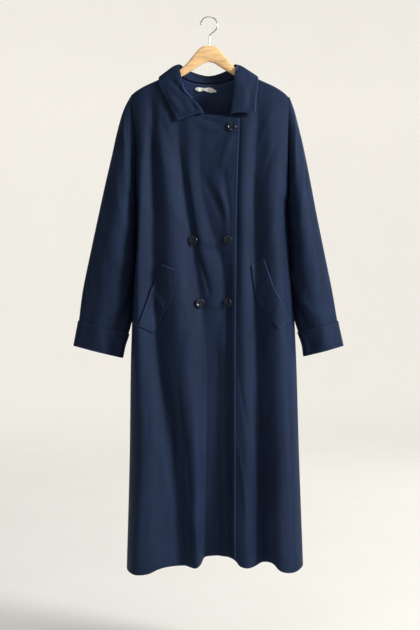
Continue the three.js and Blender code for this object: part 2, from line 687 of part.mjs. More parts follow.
// One rib: up the stand, over the crease and down the turned part, bulging away from the neck.
function collarRib({ at, foot: seam }) {
  const crease = curveAt(COLLAR_CREASE, at);
  const rise = crease.clone().sub(seam).normalize();
  const foot = seam.clone().addScaledVector(rise, COLLAR_FOOT);
  const edge = curveAt(COLLAR_EDGE, at);
  const end = Math.min(at, 4 - at);
  const outward = edge.clone().sub(crease).setZ(0).normalize();
  outward.lerp(new THREE.Vector3(0, at < 1 || at > 3 ? -1 : 1, 0), 0.5 * (1 - smoothstep(end, 0.6, 1)));
  outward.add(new THREE.Vector3(0, 0, COLLAR_BULGE.lift)).normalize();
  const bulge = ([share, out]) => crease.clone().lerp(edge, share).addScaledVector(outward, out);
  const rib = new THREE.CatmullRomCurve3([
    foot,
    foot.clone().lerp(crease, COLLAR_BULGE.stand),
    crease,
    bulge(COLLAR_BULGE.top),
    bulge(COLLAR_BULGE.fall),
    edge,
  ], false, 'centripetal');
  return COLLAR_SHARES.map((share) => {
    const point = rib.getPoint(share);
    return share > COLLAR_BULGE.lying ? clearOfBody(point) : point;
  });
}

const collar = () => piece('collar', wall(neckRibs().map(collarRib), -COLLAR_CLOTH), gabardine());

// A flap lies on its front, moved out of the front's own surface.
function flap(name, rows) {
  const edge = (key, at) => {
    const before = Math.min(Math.floor(at), rows.length - 2);
    return lerp(rows[before][key], rows[before + 1][key], at - before);
  };
  const { perRow, across: columns } = FLAP_GRID;
  const along = Array.from({ length: (rows.length - 1) * perRow + 1 }, (_, i) => i / perRow);
  const shares = Array.from({ length: columns }, (_, i) => i / (columns - 1));
  const grid = along.map((at) =>
    shares.map((across) => {
      const x = lerp(edge('openX', at), edge('sewnX', at), across);
      const z = lerp(edge('openZ', at), edge('sewnZ', at), across);
      return new THREE.Vector3(x, surfaceY('front', x, z), z);
    }));
  const facing = Math.sign(normalAt(grid, 3, 2, false).y);
  const inside = moved(grid, -facing * FLAP_LIFT);
  const outside = moved(grid, -facing * (FLAP_LIFT + FLAP_CLOTH));
  return piece(name, wallBetween(outside, inside), gabardine());
}

// A sew-through button: a dished disc with a rounded rim, set square on the cloth.
function button({ name, x, z }) {
  const { radius, rim, dish, dishRadius, sides } = BUTTON;
  const profile = [
    [0, 0], [radius - 2, 0], [radius, 1.3], [radius, rim - 1.2], [radius - 1.4, rim],
    [dishRadius + 1, rim - 0.3], [dishRadius, dish], [0, dish],
  ].map(([r, y]) => new THREE.Vector2(r, y));
  const mesh = piece(name, new THREE.LatheGeometry(profile, sides), horn());
  const step = 6;
  const dx = (surfaceY('front', x + step, z) - surfaceY('front', x - step, z)) / (2 * step);
  const dz = (surfaceY('front', x, z + step) - surfaceY('front', x, z - step)) / (2 * step);
  const out = new THREE.Vector3(dx, -1, dz).normalize();
  const centre = new THREE.Vector3(x, surfaceY('front', x, z), z);
  const rise = Math.max(...Array.from({ length: 12 }, (_, i) => {
    const angle = (i / 12) * 2 * Math.PI;
    const px = x + radius * Math.cos(angle);
    const pz = z + radius * Math.sin(angle);
    return new THREE.Vector3(px, surfaceY('front', px, pz), pz).sub(centre).dot(out);
  }), 0);
  mesh.position.copy(centre).addScaledVector(out, rise + BUTTON_LIFT);
  mesh.quaternion.setFromUnitVectors(new THREE.Vector3(0, 1, 0), out);
  return mesh;
}

// The neck label hangs on the inside of the back.
function label() {
  const { right, left, rightTop: topA, leftTop: topB, high, columns, rows } = LABEL;
  const grid = Array.from({ length: columns }, (_, i) => {
    const share = i / (columns - 1);
    const x = lerp(right, left, share);
    return Array.from({ length: rows }, (_, j) => {
      const z = lerp(topA, topB, share) - (high * j) / (rows - 1);
      return new THREE.Vector3(x, surfaceY('back', x, z) - CLOTH - LAID_ON - LABEL_CLOTH, z);
    });
  });
  return piece('neck_label', wall(grid, LABEL_CLOTH), tape());
}

function solidOf(geometry) {
  const bare = geometry.index ? geometry.toNonIndexed() : geometry.clone();
  bare.deleteAttribute('normal');
  bare.deleteAttribute('uv');
  const merged = mergeVertices(bare, 1e-3);
  return new wasm.Manifold(new wasm.Mesh({
    numProp: 3,
    vertProperties: new Float32Array(merged.attributes.position.array),
    triVerts: new Uint32Array(merged.index.array),
  }));
}

function geometryOf(solid) {
  const { vertProperties, triVerts } = solid.getMesh();
  const geometry = new THREE.BufferGeometry();
  geometry.setAttribute('position', new THREE.BufferAttribute(vertProperties, 3));
  geometry.setIndex(new THREE.BufferAttribute(triVerts, 1));
  geometry.computeVertexNormals();
  return geometry;
}

// Wire of the hook: a long arc from its tip, a bend back to the middle, and a stem down into the wood.
function hook() {
  const { wire, radius, tip, leave, ball, stem, depth } = HOOK;
  const centre = wire - radius;
  const onArc = (degrees) => {
    const angle = THREE.MathUtils.degToRad(degrees);
    return new THREE.Vector3(radius * Math.cos(angle), 0, centre + radius * Math.sin(angle));
  };
  const arc = Array.from({ length: 19 }, (_, i) => onArc(lerp(tip, leave, i / 18)));
  const end = onArc(leave);
  const bend = HOOK_BEND.map(({ share, below }) =>
    new THREE.Vector3(lerp(end.x, stem, share), 0, end.z - below));
  const foot = new THREE.Vector3(stem, 0, -depth);
  const path = new THREE.CatmullRomCurve3([...arc, ...bend, foot], false, 'centripetal');
  const section = new THREE.Shape().absarc(0, 0, wire, 0, 2 * Math.PI);
  const rod = new THREE.ExtrudeGeometry(section, { steps: 32, curveSegments: 5, extrudePath: path });
  const knob = new THREE.SphereGeometry(ball, 12, 8);
  knob.translate(onArc(tip).x, 0, onArc(tip).z);
  return piece('hook', geometryOf(solidOf(rod).add(solidOf(knob))), steel());
}

// Wood of the hanger: rounded sections along its two arms, bored from above for the hook's stem.
function hanger() {
  const { end, thick, steps, sides, bore, boreEnd, boreLength } = HANGER;
  const sections = Array.from({ length: steps + 1 }, (_, i) => {
    const across = lerp(-1, 1, i / steps);
    const x = Math.sign(across) * end * Math.abs(across) ** WOOD_SPREAD;
    const top = read(WOOD, 'x', Math.abs(x), (row) => row.top);
    const under = read(WOOD, 'x', Math.abs(x), (row) => row.under);
    const slim = lerp(1, WOOD_TIP.slim, smoothstep(Math.abs(x), end - WOOD_TIP.length, end));
    return Array.from({ length: sides }, (_, j) => {
      const angle = (j / sides) * 2 * Math.PI;
      const round = (value) => Math.sign(value) * Math.abs(value) ** WOOD_SQUARENESS;
      const z = (top + under) / 2 + ((top - under) / 2) * slim * round(Math.sin(angle));
      return new THREE.Vector3(x, (thick / 2) * slim * round(Math.cos(angle)), z);
    });
  });
  const points = sections.flat();
  const index = [];
  for (let i = 0; i < steps; i += 1) {
    for (let j = 0; j < sides; j += 1) {
      const on = (j + 1) % sides;
      const [a, b, c, d] = [i * sides + j, (i + 1) * sides + j, (i + 1) * sides + on, i * sides + on];
      index.push(a, b, c, a, c, d);
    }
  }
  for (let j = 1; j < sides - 1; j += 1) {
    const far = steps * sides;
    index.push(0, j, j + 1, far, far + j + 1, far + j);
  }
  const hole = new THREE.CylinderGeometry(bore, bore, boreLength, 12);
  hole.rotateX(Math.PI / 2);
  hole.translate(HOOK.stem, 0, boreEnd + boreLength / 2);
  return piece('hanger', geometryOf(solidOf(facingOut(points, index)).subtract(solidOf(hole))), wood());
}

const coat = new THREE.Group();
coat.add(
  hook(),
  hanger(),
  panel('front_right', rightGrid, 'front'),
  panel('front_left', leftGrid, 'front'),
  panel('back', backGrid, 'back'),
  sleeve('sleeve_right', rightRings, -1),
  sleeve('sleeve_left', leftRings, 1),
  cuff('cuff_right', rightRings, 1),
  cuff('cuff_left', leftRings, -1),
  collar(),
  flap('pocket_flap_right', RIGHT_FLAP),
  flap('pocket_flap_left', LEFT_FLAP),
  ...BUTTONS.map(button),
  label(),
);

export default coat;
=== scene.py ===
"""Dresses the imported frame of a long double-breasted coat on a wooden hanger.

Every cloth piece is a closed shell of gabardine with rounded edges, worked out with numpy from the same
tables of folds as the solids. Tables and shapes are in millimetres; a mesh is made in metres. X runs to
the right as the coat is looked at, Y away from the viewer and Z up, from the inside of the hook's top.
Right and left in the names are the wearer's.
"""

import math

import bpy
import numpy as np
from bpy.props import FloatProperty, FloatVectorProperty, IntProperty, PointerProperty
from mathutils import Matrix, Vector


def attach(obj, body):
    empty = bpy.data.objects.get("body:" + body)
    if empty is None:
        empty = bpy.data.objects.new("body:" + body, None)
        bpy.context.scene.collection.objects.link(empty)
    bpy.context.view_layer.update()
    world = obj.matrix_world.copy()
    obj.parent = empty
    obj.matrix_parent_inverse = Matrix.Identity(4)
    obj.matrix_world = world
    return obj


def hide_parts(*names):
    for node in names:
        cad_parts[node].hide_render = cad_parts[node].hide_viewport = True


bl_info = {
    "name": "Trench coat on a hanger",
    "version": (1, 0, 0),
    "blender": (4, 5, 0),
    "location": "View3D > Sidebar > Coat",
    "description": "Makes the cloth, buttons and hanger of a long double-breasted coat",
    "category": "Object",
}

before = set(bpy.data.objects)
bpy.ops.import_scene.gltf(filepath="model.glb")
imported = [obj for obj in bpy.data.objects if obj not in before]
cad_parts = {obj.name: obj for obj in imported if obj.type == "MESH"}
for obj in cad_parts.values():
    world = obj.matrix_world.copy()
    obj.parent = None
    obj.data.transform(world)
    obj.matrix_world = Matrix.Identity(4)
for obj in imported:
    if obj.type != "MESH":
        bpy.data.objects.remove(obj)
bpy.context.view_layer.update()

MM = 0.001
BODY_NAME = "root"

# Seams and clearances between pieces
SEAM = 0.3
SLEEVE_SEAM = {"right": -0.9, "left": 1.4}
LAID_ON = 0.7
BUTTON_LIFT = 0.35
COLLAR_LIFT = 5.8
COLLAR_FOOT = 3.6
FLAP_LIFT = 1.4

# Neck, shoulders and armholes
NECK_HALF = 80.0
NECK_TOP = -131.0
FRONT_NECK_DROP = 117.0
BACK_NECK_DROP = 32.0
RIGHT_COLLAR_END = -12.0
LEFT_COLLAR_END = 50.0
TOP_EDGE = {"dip": -256.0, "share": 0.8, "corner": -260.0}
FRONT_EDGE = {"fold": 6, "x": 74.5, "corner": 75.0}
SHOULDER_ROUND = 10.0
SHOULDER_CURVE = 3.0
CHEST_FALL = 90.0
FOLD_FALL = 70.0
ARMHOLE = {"top": -198.0, "bottom": -457.0, "half_depth": 24.0}
NEAR_CREST = 0.95
TROUGH_SHARPNESS = 0.72
SIDE_SLOPE = {"front": 0.4, "back": 1.8}

# Wood of the hanger: distance from the middle, top, underside
WOOD = np.array([
    (0, -70, -111), (12, -71, -114.5), (22, -76, -120.5), (34, -88.5, -128), (48, -106, -136.5),
    (62, -121, -145), (80, -135, -155), (100, -145.6, -166), (125, -158.6, -179), (160, -174.6, -196),
    (178, -185.5, -206), (187, -193, -209),
], float)
WOOD_END = 187.0
WOOD_THICK = 11.0
WOOD_SPREAD = 1.15
WOOD_SQUARENESS = 0.8
WOOD_TIP = {"length": 14.0, "slim": 0.62}

# Cloth over the hanger's arm: distance from the middle, height
SHOULDER = np.array([
    (80, -131), (100, -142), (125, -155), (160, -171), (178, -181.5), (190, -190.5), (200, -201),
], float)

# Body by height: height, right side, left side, how far the fronts and the back stand from the hanger
BODY = np.array([
    (-198, -196, 199.5, 47, 42), (-310, -182, 196, 49, 46), (-456, -180, 197, 51, 50),
    (-560, -180, 201, 53, 54), (-706, -190, 211, 55, 59), (-860, -195, 218, 57, 64),
    (-1100, -198, 225, 60, 71), (-1372, -205, 235, 62, 78),
], float)
BODY_COLUMN = {"right": 1, "left": 2, "front": 3, "back": 4}

# Folds: one row for each crest or trough, and in it a pair for each level, from the shoulder to the hem:
# its place across, and how far it stands out
LEVELS = np.array([-150, -260, -450, -640, -830, -1080, -1372], float)
FRONT_FOLDS = np.array([
    [(-172, 2), (-166, 3), (-168, 5), (-173, 5), (-171, 8), (-160, 13), (-172, 20)],
    [(-145, -2), (-141, -4), (-137, -7), (-134, -8), (-127, -9), (-88, -9), (-58, -6)],
    [(-112, 2), (-119, 4), (-100, 7), (-88, 8), (-66, 9), (-37, 10), (-30, 12)],
    [(-80, -1), (-80, -2), (-58, -8), (-30, -9), (-6, -8), (-6, -11), (-10, -20)],
    [(-50, 0), (-50, 1), (-40, -1), (-3, -3), (18, -8), (20, -12), (22, -20)],
    [(-22, 0), (-22, -1), (-15, -5), (36, -8), (42, -6), (44, -6), (44, -12)],
    [(74.5, 0), (74.5, 1), (68, 0), (66, 0), (64, 2), (63.5, 5), (63.5, 6)],
    [(80, 1), (84, 3), (80, 4), (80, 4), (82, 5), (84, 6), (84, 7)],
    [(118, -3), (120, -4), (110, -7), (114, -8), (117, -11), (125, -13), (128, -16)],
    [(158, 2), (156, 3), (154, 5), (161, 6), (169, 8), (174, 12), (178, 16)],
], float)
BACK_FOLDS = np.array([
    [(-172, 1), (-168, 2), (-166, 4), (-168, 6), (-166, 8), (-160, 11), (-158, 15)],
    [(-122, -2), (-120, -4), (-118, -6), (-110, -8), (-106, -9), (-108, -11), (-110, -13)],
    [(-80, 1), (-74, 3), (-66, 5), (-58, 7), (-60, 9), (-62, 12), (-58, 15)],
    [(-4, 0), (-6, -2), (-10, -5), (-6, -7), (0, -9), (-4, -12), (-8, -14)],
    [(80, 1), (66, 2), (58, 5), (60, 6), (64, 9), (62, 13), (58, 17)],
    [(124, -2), (120, -4), (118, -6), (122, -8), (120, -8), (124, -10), (128, -13)],
    [(174, 1), (166, 2), (168, 4), (176, 5), (180, 8), (182, 12), (186, 15)],
], float)
FACES = {"front": (FRONT_FOLDS, -1.0), "back": (BACK_FOLDS, 1.0)}

# Hems: place across, height
RIGHT_HEM = np.array([
    (-205, -1370), (-176, -1373), (-147, -1371), (-121, -1361), (-95, -1357), (-60, -1357), (-34, -1359),
    (-20, -1354), (-12, -1342), (2, -1338), (36, -1337), (64, -1338),
], float)
LEFT_HEM = np.array([
    (-50, -1333), (54, -1338), (66, -1345), (75, -1356), (97, -1361), (118, -1358), (133, -1351),
    (146, -1348), (158, -1351), (169, -1362), (184, -1368), (210, -1370), (235, -1364),
], float)
BACK_HEM = np.array([
    (-205, -1366), (-158, -1371), (-108, -1363), (-58, -1366), (-6, -1359), (58, -1366), (126, -1360),
    (186, -1368), (235, -1362),
], float)
HEM_LEVEL = LEVELS[-1]

# How the left front goes on under the right one
UNDERLAP = {"start": -49.0, "end": 70.5, "still": 36.0, "gap": 0.9, "hem_gap": 2.6, "ease": 9.0, "ease_width": 70.0,
            "edge_width": 36.0, "from": NECK_TOP - 20, "run": 90.0}

# The right front's free edge stands off, from the waist down
EDGE_LIFT = {"out": 2.6, "width": 11.0, "heights": (640, 860)}

# Small creases of the coat: start x, z, end x, z, bend sideways, half width, how far it stands out
FRONT_CREASES = [
    (-78, -915, -44, -1220, 3, 5, -3.0), (-96, -905, -88, -1120, 2, 6, -1.8), (-66, -1230, -50, -1345, 0, 5, 2.2),
    (72, -880, 104, -1060, -3, 5, -1.6), (70, -1060, 92, -1240, 2, 5, 1.6), (-132, -1240, -120, -1350, 2, 6, -1.6),
    (-146, -860, -138, -1080, 2, 6, 1.6), (20, -880, 28, -1150, 0, 7, 1.8), (186, -880, 200, -1140, 2, 6, -1.8),
    (-58, -400, -38, -535, 2, 6, -3.4), (-40, -525, -28, -602, 0, 5, -3.0), (-31, -592, 2, -700, 4, 6, -3.6),
    (-17, -402, 44, -532, 5, 9, -2.8), (-2, -396, 46, -505, 5, 8, 1.8),
    (12, -380, 46, -548, 4, 9, 2.6),
    (32, -372, 52, -545, 3, 7, -1.8),
    (58, -296, 30, -392, -4, 9, 2.2),
    (48, -292, 2, -345, -3, 8, -1.6),
    (-40, -552, -92, -470, 5, 10, 2.4),
    (-30, -575, -66, -700, 4, 10, -2.0),
    (-24, -560, 38, -563, -3, 9, 1.8),
    (-22, -585, 36, -592, 3, 8, -1.6),
    (-12, -716, 40, -716, -3, 8, 1.6),
    (-26, -728, -58, -832, 4, 11, 2.0),
    (52, -728, 30, -838, -5, 10, 1.8),
    (-24, -257, 42, -272, -3, 6, -2.6),
    (-30, -272, 34, -292, -4, 8, 2.2),
    (-150, -262, -108, -404, 6, 10, 2.2),
    (-132, -238, -92, -340, 4, 9, -2.0),
    (150, -252, 106, -398, -7, 10, 2.2),
    (176, -300, 134, -420, -5, 9, -1.8),
    (-168, -460, -120, -560, 6, 11, 1.8),
    (186, -466, 138, -580, -6, 11, 1.8),
    (-118, -820, -86, -960, 5, 13, 2.2),
    (150, -800, 118, -950, -6, 13, 2.4),
    (-150, -1010, -112, -1160, 6, 14, 2.0),
    (104, -1000, 138, -1180, 6, 14, -2.2),
    (-60, -1180, -20, -1330, 4, 12, 2.0),
    (160, -1200, 140, -1340, -4, 12, 2.0),
]
BACK_CREASES = [
    (-150, -230, -70, -420, 8, 12, 2.4),
    (150, -232, 78, -430, -8, 12, 2.2),
    (-128, -262, -44, -520, 6, 11, -2.0),
    (126, -270, 40, -540, -6, 11, -2.0),
    (-30, -330, -60, -620, 5, 13, 1.8),
    (40, -420, 70, -720, -5, 13, 1.8),
    (-150, -560, -96, -760, 7, 13, 2.2),
    (156, -600, 100, -800, -8, 13, 2.2),
    (-20, -760, 20, -1010, 6, 15, 2.2),
    (-130, -900, -84, -1130, 7, 15, -2.2),
    (138, -930, 96, -1160, -7, 15, 2.2),
    (0, -1080, -36, -1330, 5, 14, 2.0),
]

# Sleeves, armhole to cuff: outer side x, z, inner side x, z, half depth
RIGHT_SLEEVE = np.array([
    (-196.8, -198.5, -181, -457.5, 24), (-214, -233, -183.5, -469, 36), (-229, -285, -184, -488, 43),
    (-242, -345, -184.5, -514, 47), (-258, -415, -185.5, -550, 49), (-276, -497, -188, -602, 47),
    (-296, -590, -194, -666, 43), (-315, -682, -200, -730, 37), (-325, -757, -206, -790, 32),
    (-331, -789, -211, -820, 29), (-337, -820, -217, -850, 27),
], float)
LEFT_SLEEVE = np.array([
    (200.3, -198.5, 197.8, -457.5, 24), (214, -235, 202, -469, 36), (226, -283, 205.5, -488, 43),
    (239.5, -343, 209, -514, 47), (253.5, -415, 212.5, -550, 50), (269, -497, 217, -602, 49),
    (288, -590, 221, -666, 46), (307, -682, 224, -730, 41), (320, -757, 230, -785, 37),
    (327, -789, 234, -816, 34), (334, -820, 238, -846, 32),
], float)
SLEEVE_BACK = 4.0
SLEEVE_GROWN = 4.0
SLEEVE_FLATNESS = 0.45
SLEEVE_TUCK = {"behind": 16.0, "past_side": 4.0, "slim": 0.7, "power": 10}
CUFF_START = 8.0
CUFF_SHARE = 0.6
SLEEVE_LAST = 10.0

# Long folds of a sleeve: share of the turn, width as a share, how far out
SLEEVE_FOLDS = [(0.12, 0.07, -4), (0.24, 0.08, 4), (0.37, 0.06, -4), (0.62, 0.08, -4), (0.82, 0.08, -4)]

# Small creases of a sleeve: start ring, share of the turn, end ring, share, half width, how far out
SLEEVE_CREASES = [
    (0.9, 0.10, 2.6, 0.30, 9, 2.4), (1.4, 0.16, 3.2, 0.40, 9, -2.2), (2.2, 0.06, 4.2, 0.24, 10, 2.0),
    (3.4, 0.44, 4.6, 0.26, 9, 2.4), (4.0, 0.48, 5.3, 0.30, 8, -2.2), (4.7, 0.47, 5.9, 0.28, 8, 2.4),
    (5.5, 0.46, 6.5, 0.32, 8, -2.0), (5.4, 0.08, 6.6, 0.22, 10, 1.8), (6.6, 0.40, 7.8, 0.20, 9, 1.8),
    (1.2, 0.90, 3.0, 0.68, 10, 2.4), (2.6, 0.86, 4.4, 0.62, 10, -2.0), (4.2, 0.56, 5.2, 0.72, 9, 2.2),
    (5.0, 0.55, 6.0, 0.72, 8, -2.0), (6.4, 0.62, 7.8, 0.82, 10, 1.8), (5.5, 0.47, 8.0, 0.34, 9, -5.0),
    (5.2, 0.43, 7.6, 0.29, 8, 3.4), (7.5, 0.20, 9.8, 0.27, 8, 2.2), (8.0, 0.40, 9.8, 0.34, 7, -1.8),
    (2.0, 0.33, 5.0, 0.29, 7, -1.6), (3.0, 0.14, 7.0, 0.17, 7, -1.6),
]

# Crease of the collar from its right end round the back to its left end, and its outer edge: place, x, y, z
COLLAR_CREASE = np.array([
    (0, -12, -45.5, -247), (0.3, -37.5, -44, -214), (0.62, -62, -36, -181.5), (0.85, -70, -20, -146),
    (1, -74.5, 0, -117.5), (1.35, -54, 19, -127), (2, -4, 27, -140), (2.6, 38, 21.5, -131),
    (3, 66.5, 0, -117.5), (3.3, 62.5, -23, -151), (3.6, 60, -37, -188), (4, 53, -49, -249),
], float)
COLLAR_EDGE = np.array([
    (0, -78, -48, -265), (0.5, -100, -40, -219), (0.85, -122, -24, -175), (0.93, -125, -13, -158),
    (1, -125.5, 0, -148.5), (1.08, -125, 14, -157), (1.18, -118, 25, -170), (1.35, -100, 32, -182),
    (2, -2, 38, -204), (2.65, 98, 32, -182), (2.82, 116, 25, -170), (2.92, 122.5, 14, -157),
    (3, 122.5, 0, -147.5), (3.08, 122.5, -14, -158), (3.2, 121, -25, -176), (3.6, 116, -40, -214),
    (4, 113, -51, -247),
], float)
COLLAR_BULGE = {"stand": 0.6, "top": (0.14, 5.0), "fall": (0.55, 3.5), "lift": 0.35, "lying": 0.45}

COLLAR_CREASES = [
    (-96, -160, -29, -242, 5, 8, -6.5), (-70, -188, -16, -244, 0, 7, 4.5), (-108, -200, -66, -248, 3, 9, 3.2),
    (88, -172, 80, -242, 3, 9, 1.8), (106, -180, 100, -238, -2, 7, -1.5),
]
FLAP_CREASES = [
    (-143, -678, -103, -752, 4, 8, 4.0), (-150, -690, -116, -752, 3, 5, -1.0), (-104, -640, -92, -700, 2, 7, 1.6),
    (148, -650, 122, -700, -3, 8, 1.6), (176, -716, 150, -754, 2, 8, 1.8),
]

# Pocket flaps, upper to lower end: share of the length, opening edge x, z, sewn edge x, z
RIGHT_FLAP = np.array([
    (0, -115, -620, -83, -634), (0.1, -121, -635, -80.5, -646), (0.42, -144, -685, -86, -692),
    (0.55, -151, -706, -91.5, -710), (1, -172, -770, -138, -787),
], float)
LEFT_FLAP = np.array([
    (0, 136, -608, 102.5, -623), (0.2, 146, -640, 105, -648), (0.45, 158.5, -677, 111, -681),
    (0.65, 174.5, -709, 118.5, -712), (0.85, 188.5, -738, 143, -743), (1, 195.5, -756, 169, -776),
], float)

BUTTONS = {
    "button_collar": (55.5, -281.0),
    "button_chest_right": (-36.8, -560.0),
    "button_chest_left": (46.7, -559.0),
    "button_waist_right": (-23.6, -715.0),
    "button_waist_left": (48.8, -713.0),
}
BUTTON_RADIUS = 11.5

HOOK = {"wire": 1.75, "radius": 20.75, "tip": 172.0, "leave": -52.0, "ball": 3.0, "stem": 0.6, "depth": 96.0}
HOOK_BEND = [(0.55, 5.5), (0.9, 10.0), (1.0, 16.0)]

NECK_FACING = {"rows": (-230.0, -236.0), "half_width": 70.0}
LABEL = {"right": -35.0, "left": 18.0, "thick": 1.0}
# Label: share of its length, upper edge z, lower edge z
LABEL_EDGES = np.array([
    (0, -173.5, -177.0), (0.07, -171.2, -180.0), (0.2, -171.0, -181.0), (0.36, -172.6, -179.4),
    (0.5, -172.4, -180.2), (0.62, -171.4, -182.4), (0.78, -172.4, -184.0), (0.9, -175.4, -183.2),
    (1, -179.0, -181.6),
])


# Reading tables

def smooth_read(places, values, at):
    """Value at a place along a smooth curve through a table's rows.

    Between two rows it is the cubic that meets both values and, at each, the slope between the rows on
    either side of it. Past the ends it keeps the end's value.
    """
    order = np.argsort(places)
    place = np.asarray(places, float)[order]
    value = np.asarray(values, float)[order]
    slope = np.empty_like(value)
    slope[1:-1] = (value[2:] - value[:-2]) / (place[2:] - place[:-2])
    slope[0] = (value[1] - value[0]) / (place[1] - place[0])
    slope[-1] = (value[-1] - value[-2]) / (place[-1] - place[-2])
    at = np.clip(at, place[0], place[-1])
    i = np.clip(np.searchsorted(place, at, side="right") - 1, 0, len(place) - 2)
    span = place[i + 1] - place[i]
    t = (at - place[i]) / span
    turn = t * t * (3 - 2 * t)
    bend = t * (1 - t) ** 2 * slope[i] - t * t * (1 - t) * slope[i + 1]
    return value[i] + (value[i + 1] - value[i]) * turn + span * bend


def smoothstep(value, low, high):
    """0 below low, 1 above high, and between them three times the share's square less twice its cube."""
    t = np.clip((value - low) / (high - low), 0, 1)
    return t * t * (3 - 2 * t)


def body_at(z, name):
    return smooth_read(BODY[:, 0], BODY[:, BODY_COLUMN[name]], z)


def shoulder_at(x):
    return smooth_read(SHOULDER[:, 0], SHOULDER[:, 1], np.abs(x))


def armhole_at(z):
    """Half depth of the armhole: an ellipse from the shoulder's tip to the underarm."""
    middle = (ARMHOLE["top"] + ARMHOLE["bottom"]) / 2
    half = (ARMHOLE["top"] - ARMHOLE["bottom"]) / 2
    return ARMHOLE["half_depth"] * np.sqrt(np.maximum(0, 1 - ((z - middle) / half) ** 2))


def folds_at(face, z):
    """Places across and heights of all folds of a face at heights z, one layer for each fold."""
    folds = FACES[face][0]
    places = np.stack([smooth_read(LEVELS, fold[:, 0], z) for fold in folds])
    heights = np.stack([smooth_read(LEVELS, fold[:, 1], z) for fold in folds])
    return places, heights


def beside_sleeve(z):
    """1 at the heights where the sleeve hangs against the side, easing to 0 at the underarm and the cuff."""
    return smoothstep(-z, 435, 490) * (1 - smoothstep(-z, 770, 850))


def front_edge_at(z):
    return smooth_read(LEVELS, FRONT_FOLDS[FRONT_EDGE["fold"], :, 0], z)


# Surface of the body

def crease_height(creases, x, z):
    """Sum of the small creases.

    Each is a bell across a line that bends sideways like half a sine, and it fades in and out along the
    line like the square root of that sine.
    """
    total = np.zeros_like(x)
    for x0, z0, x1, z1, bend, width, out in creases:
        dx, dz = x1 - x0, z1 - z0
        length = math.hypot(dx, dz)
        t = np.clip(((x - x0) * dx + (z - z0) * dz) / length ** 2, 0, 1)
        arch = np.sin(np.pi * t)
        px = x0 + t * dx - bend * arch * dz / length
        pz = z0 + t * dz + bend * arch * dx / length
        away = np.hypot(x - px, z - pz)
        total += out * np.exp(-(away / width) ** 2) * np.sqrt(arch)
    return total


def surface_y(face, x, z, creased=True):
    """Outer surface of the body.

    Its depth is a quick round over the hanger's arm, plus a slower fall to the chest, plus the folds,
    which run from trough to crest as half waves raised to a power, so that troughs are narrow. Each side
    turns in like a quarter of an ellipse, and more slowly beside the sleeve, which needs its room there.
    """
    settings = bpy.context.scene.coat_settings
    places, heights = folds_at(face, z)
    heights = heights * np.where(heights < 0, settings.trough_depth, settings.crest_height)
    sign = FACES[face][1]
    drop = np.maximum(0, shoulder_at(x) - z)
    share = np.clip((x[None] - places[:-1]) / np.diff(places, axis=0), 0, 1)
    rise = np.diff(heights, axis=0)
    from_trough = np.where(rise > 0, share, 1 - share)
    wave = ((1 - np.cos(np.pi * from_trough)) / 2) ** TROUGH_SHARPNESS
    fold = heights[0] + (rise * np.where(rise > 0, wave, 1 - wave)).sum(axis=0)
    if creased:
        strength = settings.crease_strength
        creases = FRONT_CREASES if face == "front" else BACK_CREASES
        fold = fold + strength * crease_height(creases, x, z)
    round_part = SHOULDER_ROUND * (1 - np.exp(-drop / SHOULDER_CURVE))
    fall = (body_at(z, face) - SHOULDER_ROUND) * (1 - np.exp(-drop / CHEST_FALL))
    depth = round_part + fall + fold * (1 - np.exp(-drop / FOLD_FALL))
    right, left = body_at(z, "right"), body_at(z, "left")
    from_right = (x - right) / (places[0] - right)
    from_left = (left - x) / (left - places[-1])
    inward = np.clip(np.minimum(from_right, from_left), 0, 1)
    turn = (1 - (1 - inward) ** 2) ** (0.5 + SIDE_SLOPE[face] * beside_sleeve(z))
    edge = np.maximum(armhole_at(z), SEAM / 2)
    return sign * np.maximum(edge + (depth - edge) * turn, SEAM / 2)


def column_x(face, column, z):
    """Place across of a column. It counts folds: -1 is the right side and the number of folds the left."""
    places, _ = folds_at(face, z)
    count = len(places)
    stations = np.concatenate([body_at(z, "right")[None], places, body_at(z, "left")[None]])
    column = np.broadcast_to(column, z.shape)
    i = np.clip(np.floor(column) + 1, 0, count).astype(int)
    t = column + 1 - i
    t = np.where(i == 0, 1 - np.cos(t * np.pi / 2), np.where(i == count, np.sin(t * np.pi / 2), t))
    before = np.take_along_axis(stations, i[None], 0)[0]
    after = np.take_along_axis(stations, i[None] + 1, 0)[0]
    return before + (after - before) * t


def neckline(x, end):
    """Neckline of a front from the collar's end to the shoulder: a quarter of an ellipse."""
    across = np.clip((x - end) / (np.sign(x) * NECK_HALF - end), 0, 1)
    return NECK_TOP - FRONT_NECK_DROP * np.sqrt(1 - across ** 2)


def right_top(x):
    along = np.clip((x - RIGHT_COLLAR_END) / (FRONT_EDGE["corner"] - RIGHT_COLLAR_END), 0, 1)
    straight = np.interp(along, [0, TOP_EDGE["share"], 1],
                         [NECK_TOP - FRONT_NECK_DROP, TOP_EDGE["dip"], TOP_EDGE["corner"]])
    inner = np.where(x < RIGHT_COLLAR_END, neckline(np.minimum(x, -1e-6), RIGHT_COLLAR_END), straight)
    return np.where(x < -NECK_HALF, shoulder_at(x), inner)


def left_top(x):
    inner = np.where(x > LEFT_COLLAR_END, neckline(np.maximum(x, LEFT_COLLAR_END), LEFT_COLLAR_END),
                     NECK_TOP - FRONT_NECK_DROP)
    return np.where(x > NECK_HALF, shoulder_at(x), inner)


def back_top(x):
    inner = NECK_TOP - BACK_NECK_DROP * np.sqrt(np.maximum(0, 1 - (x / NECK_HALF) ** 2))
    return np.where(np.abs(x) > NECK_HALF, shoulder_at(x), inner)


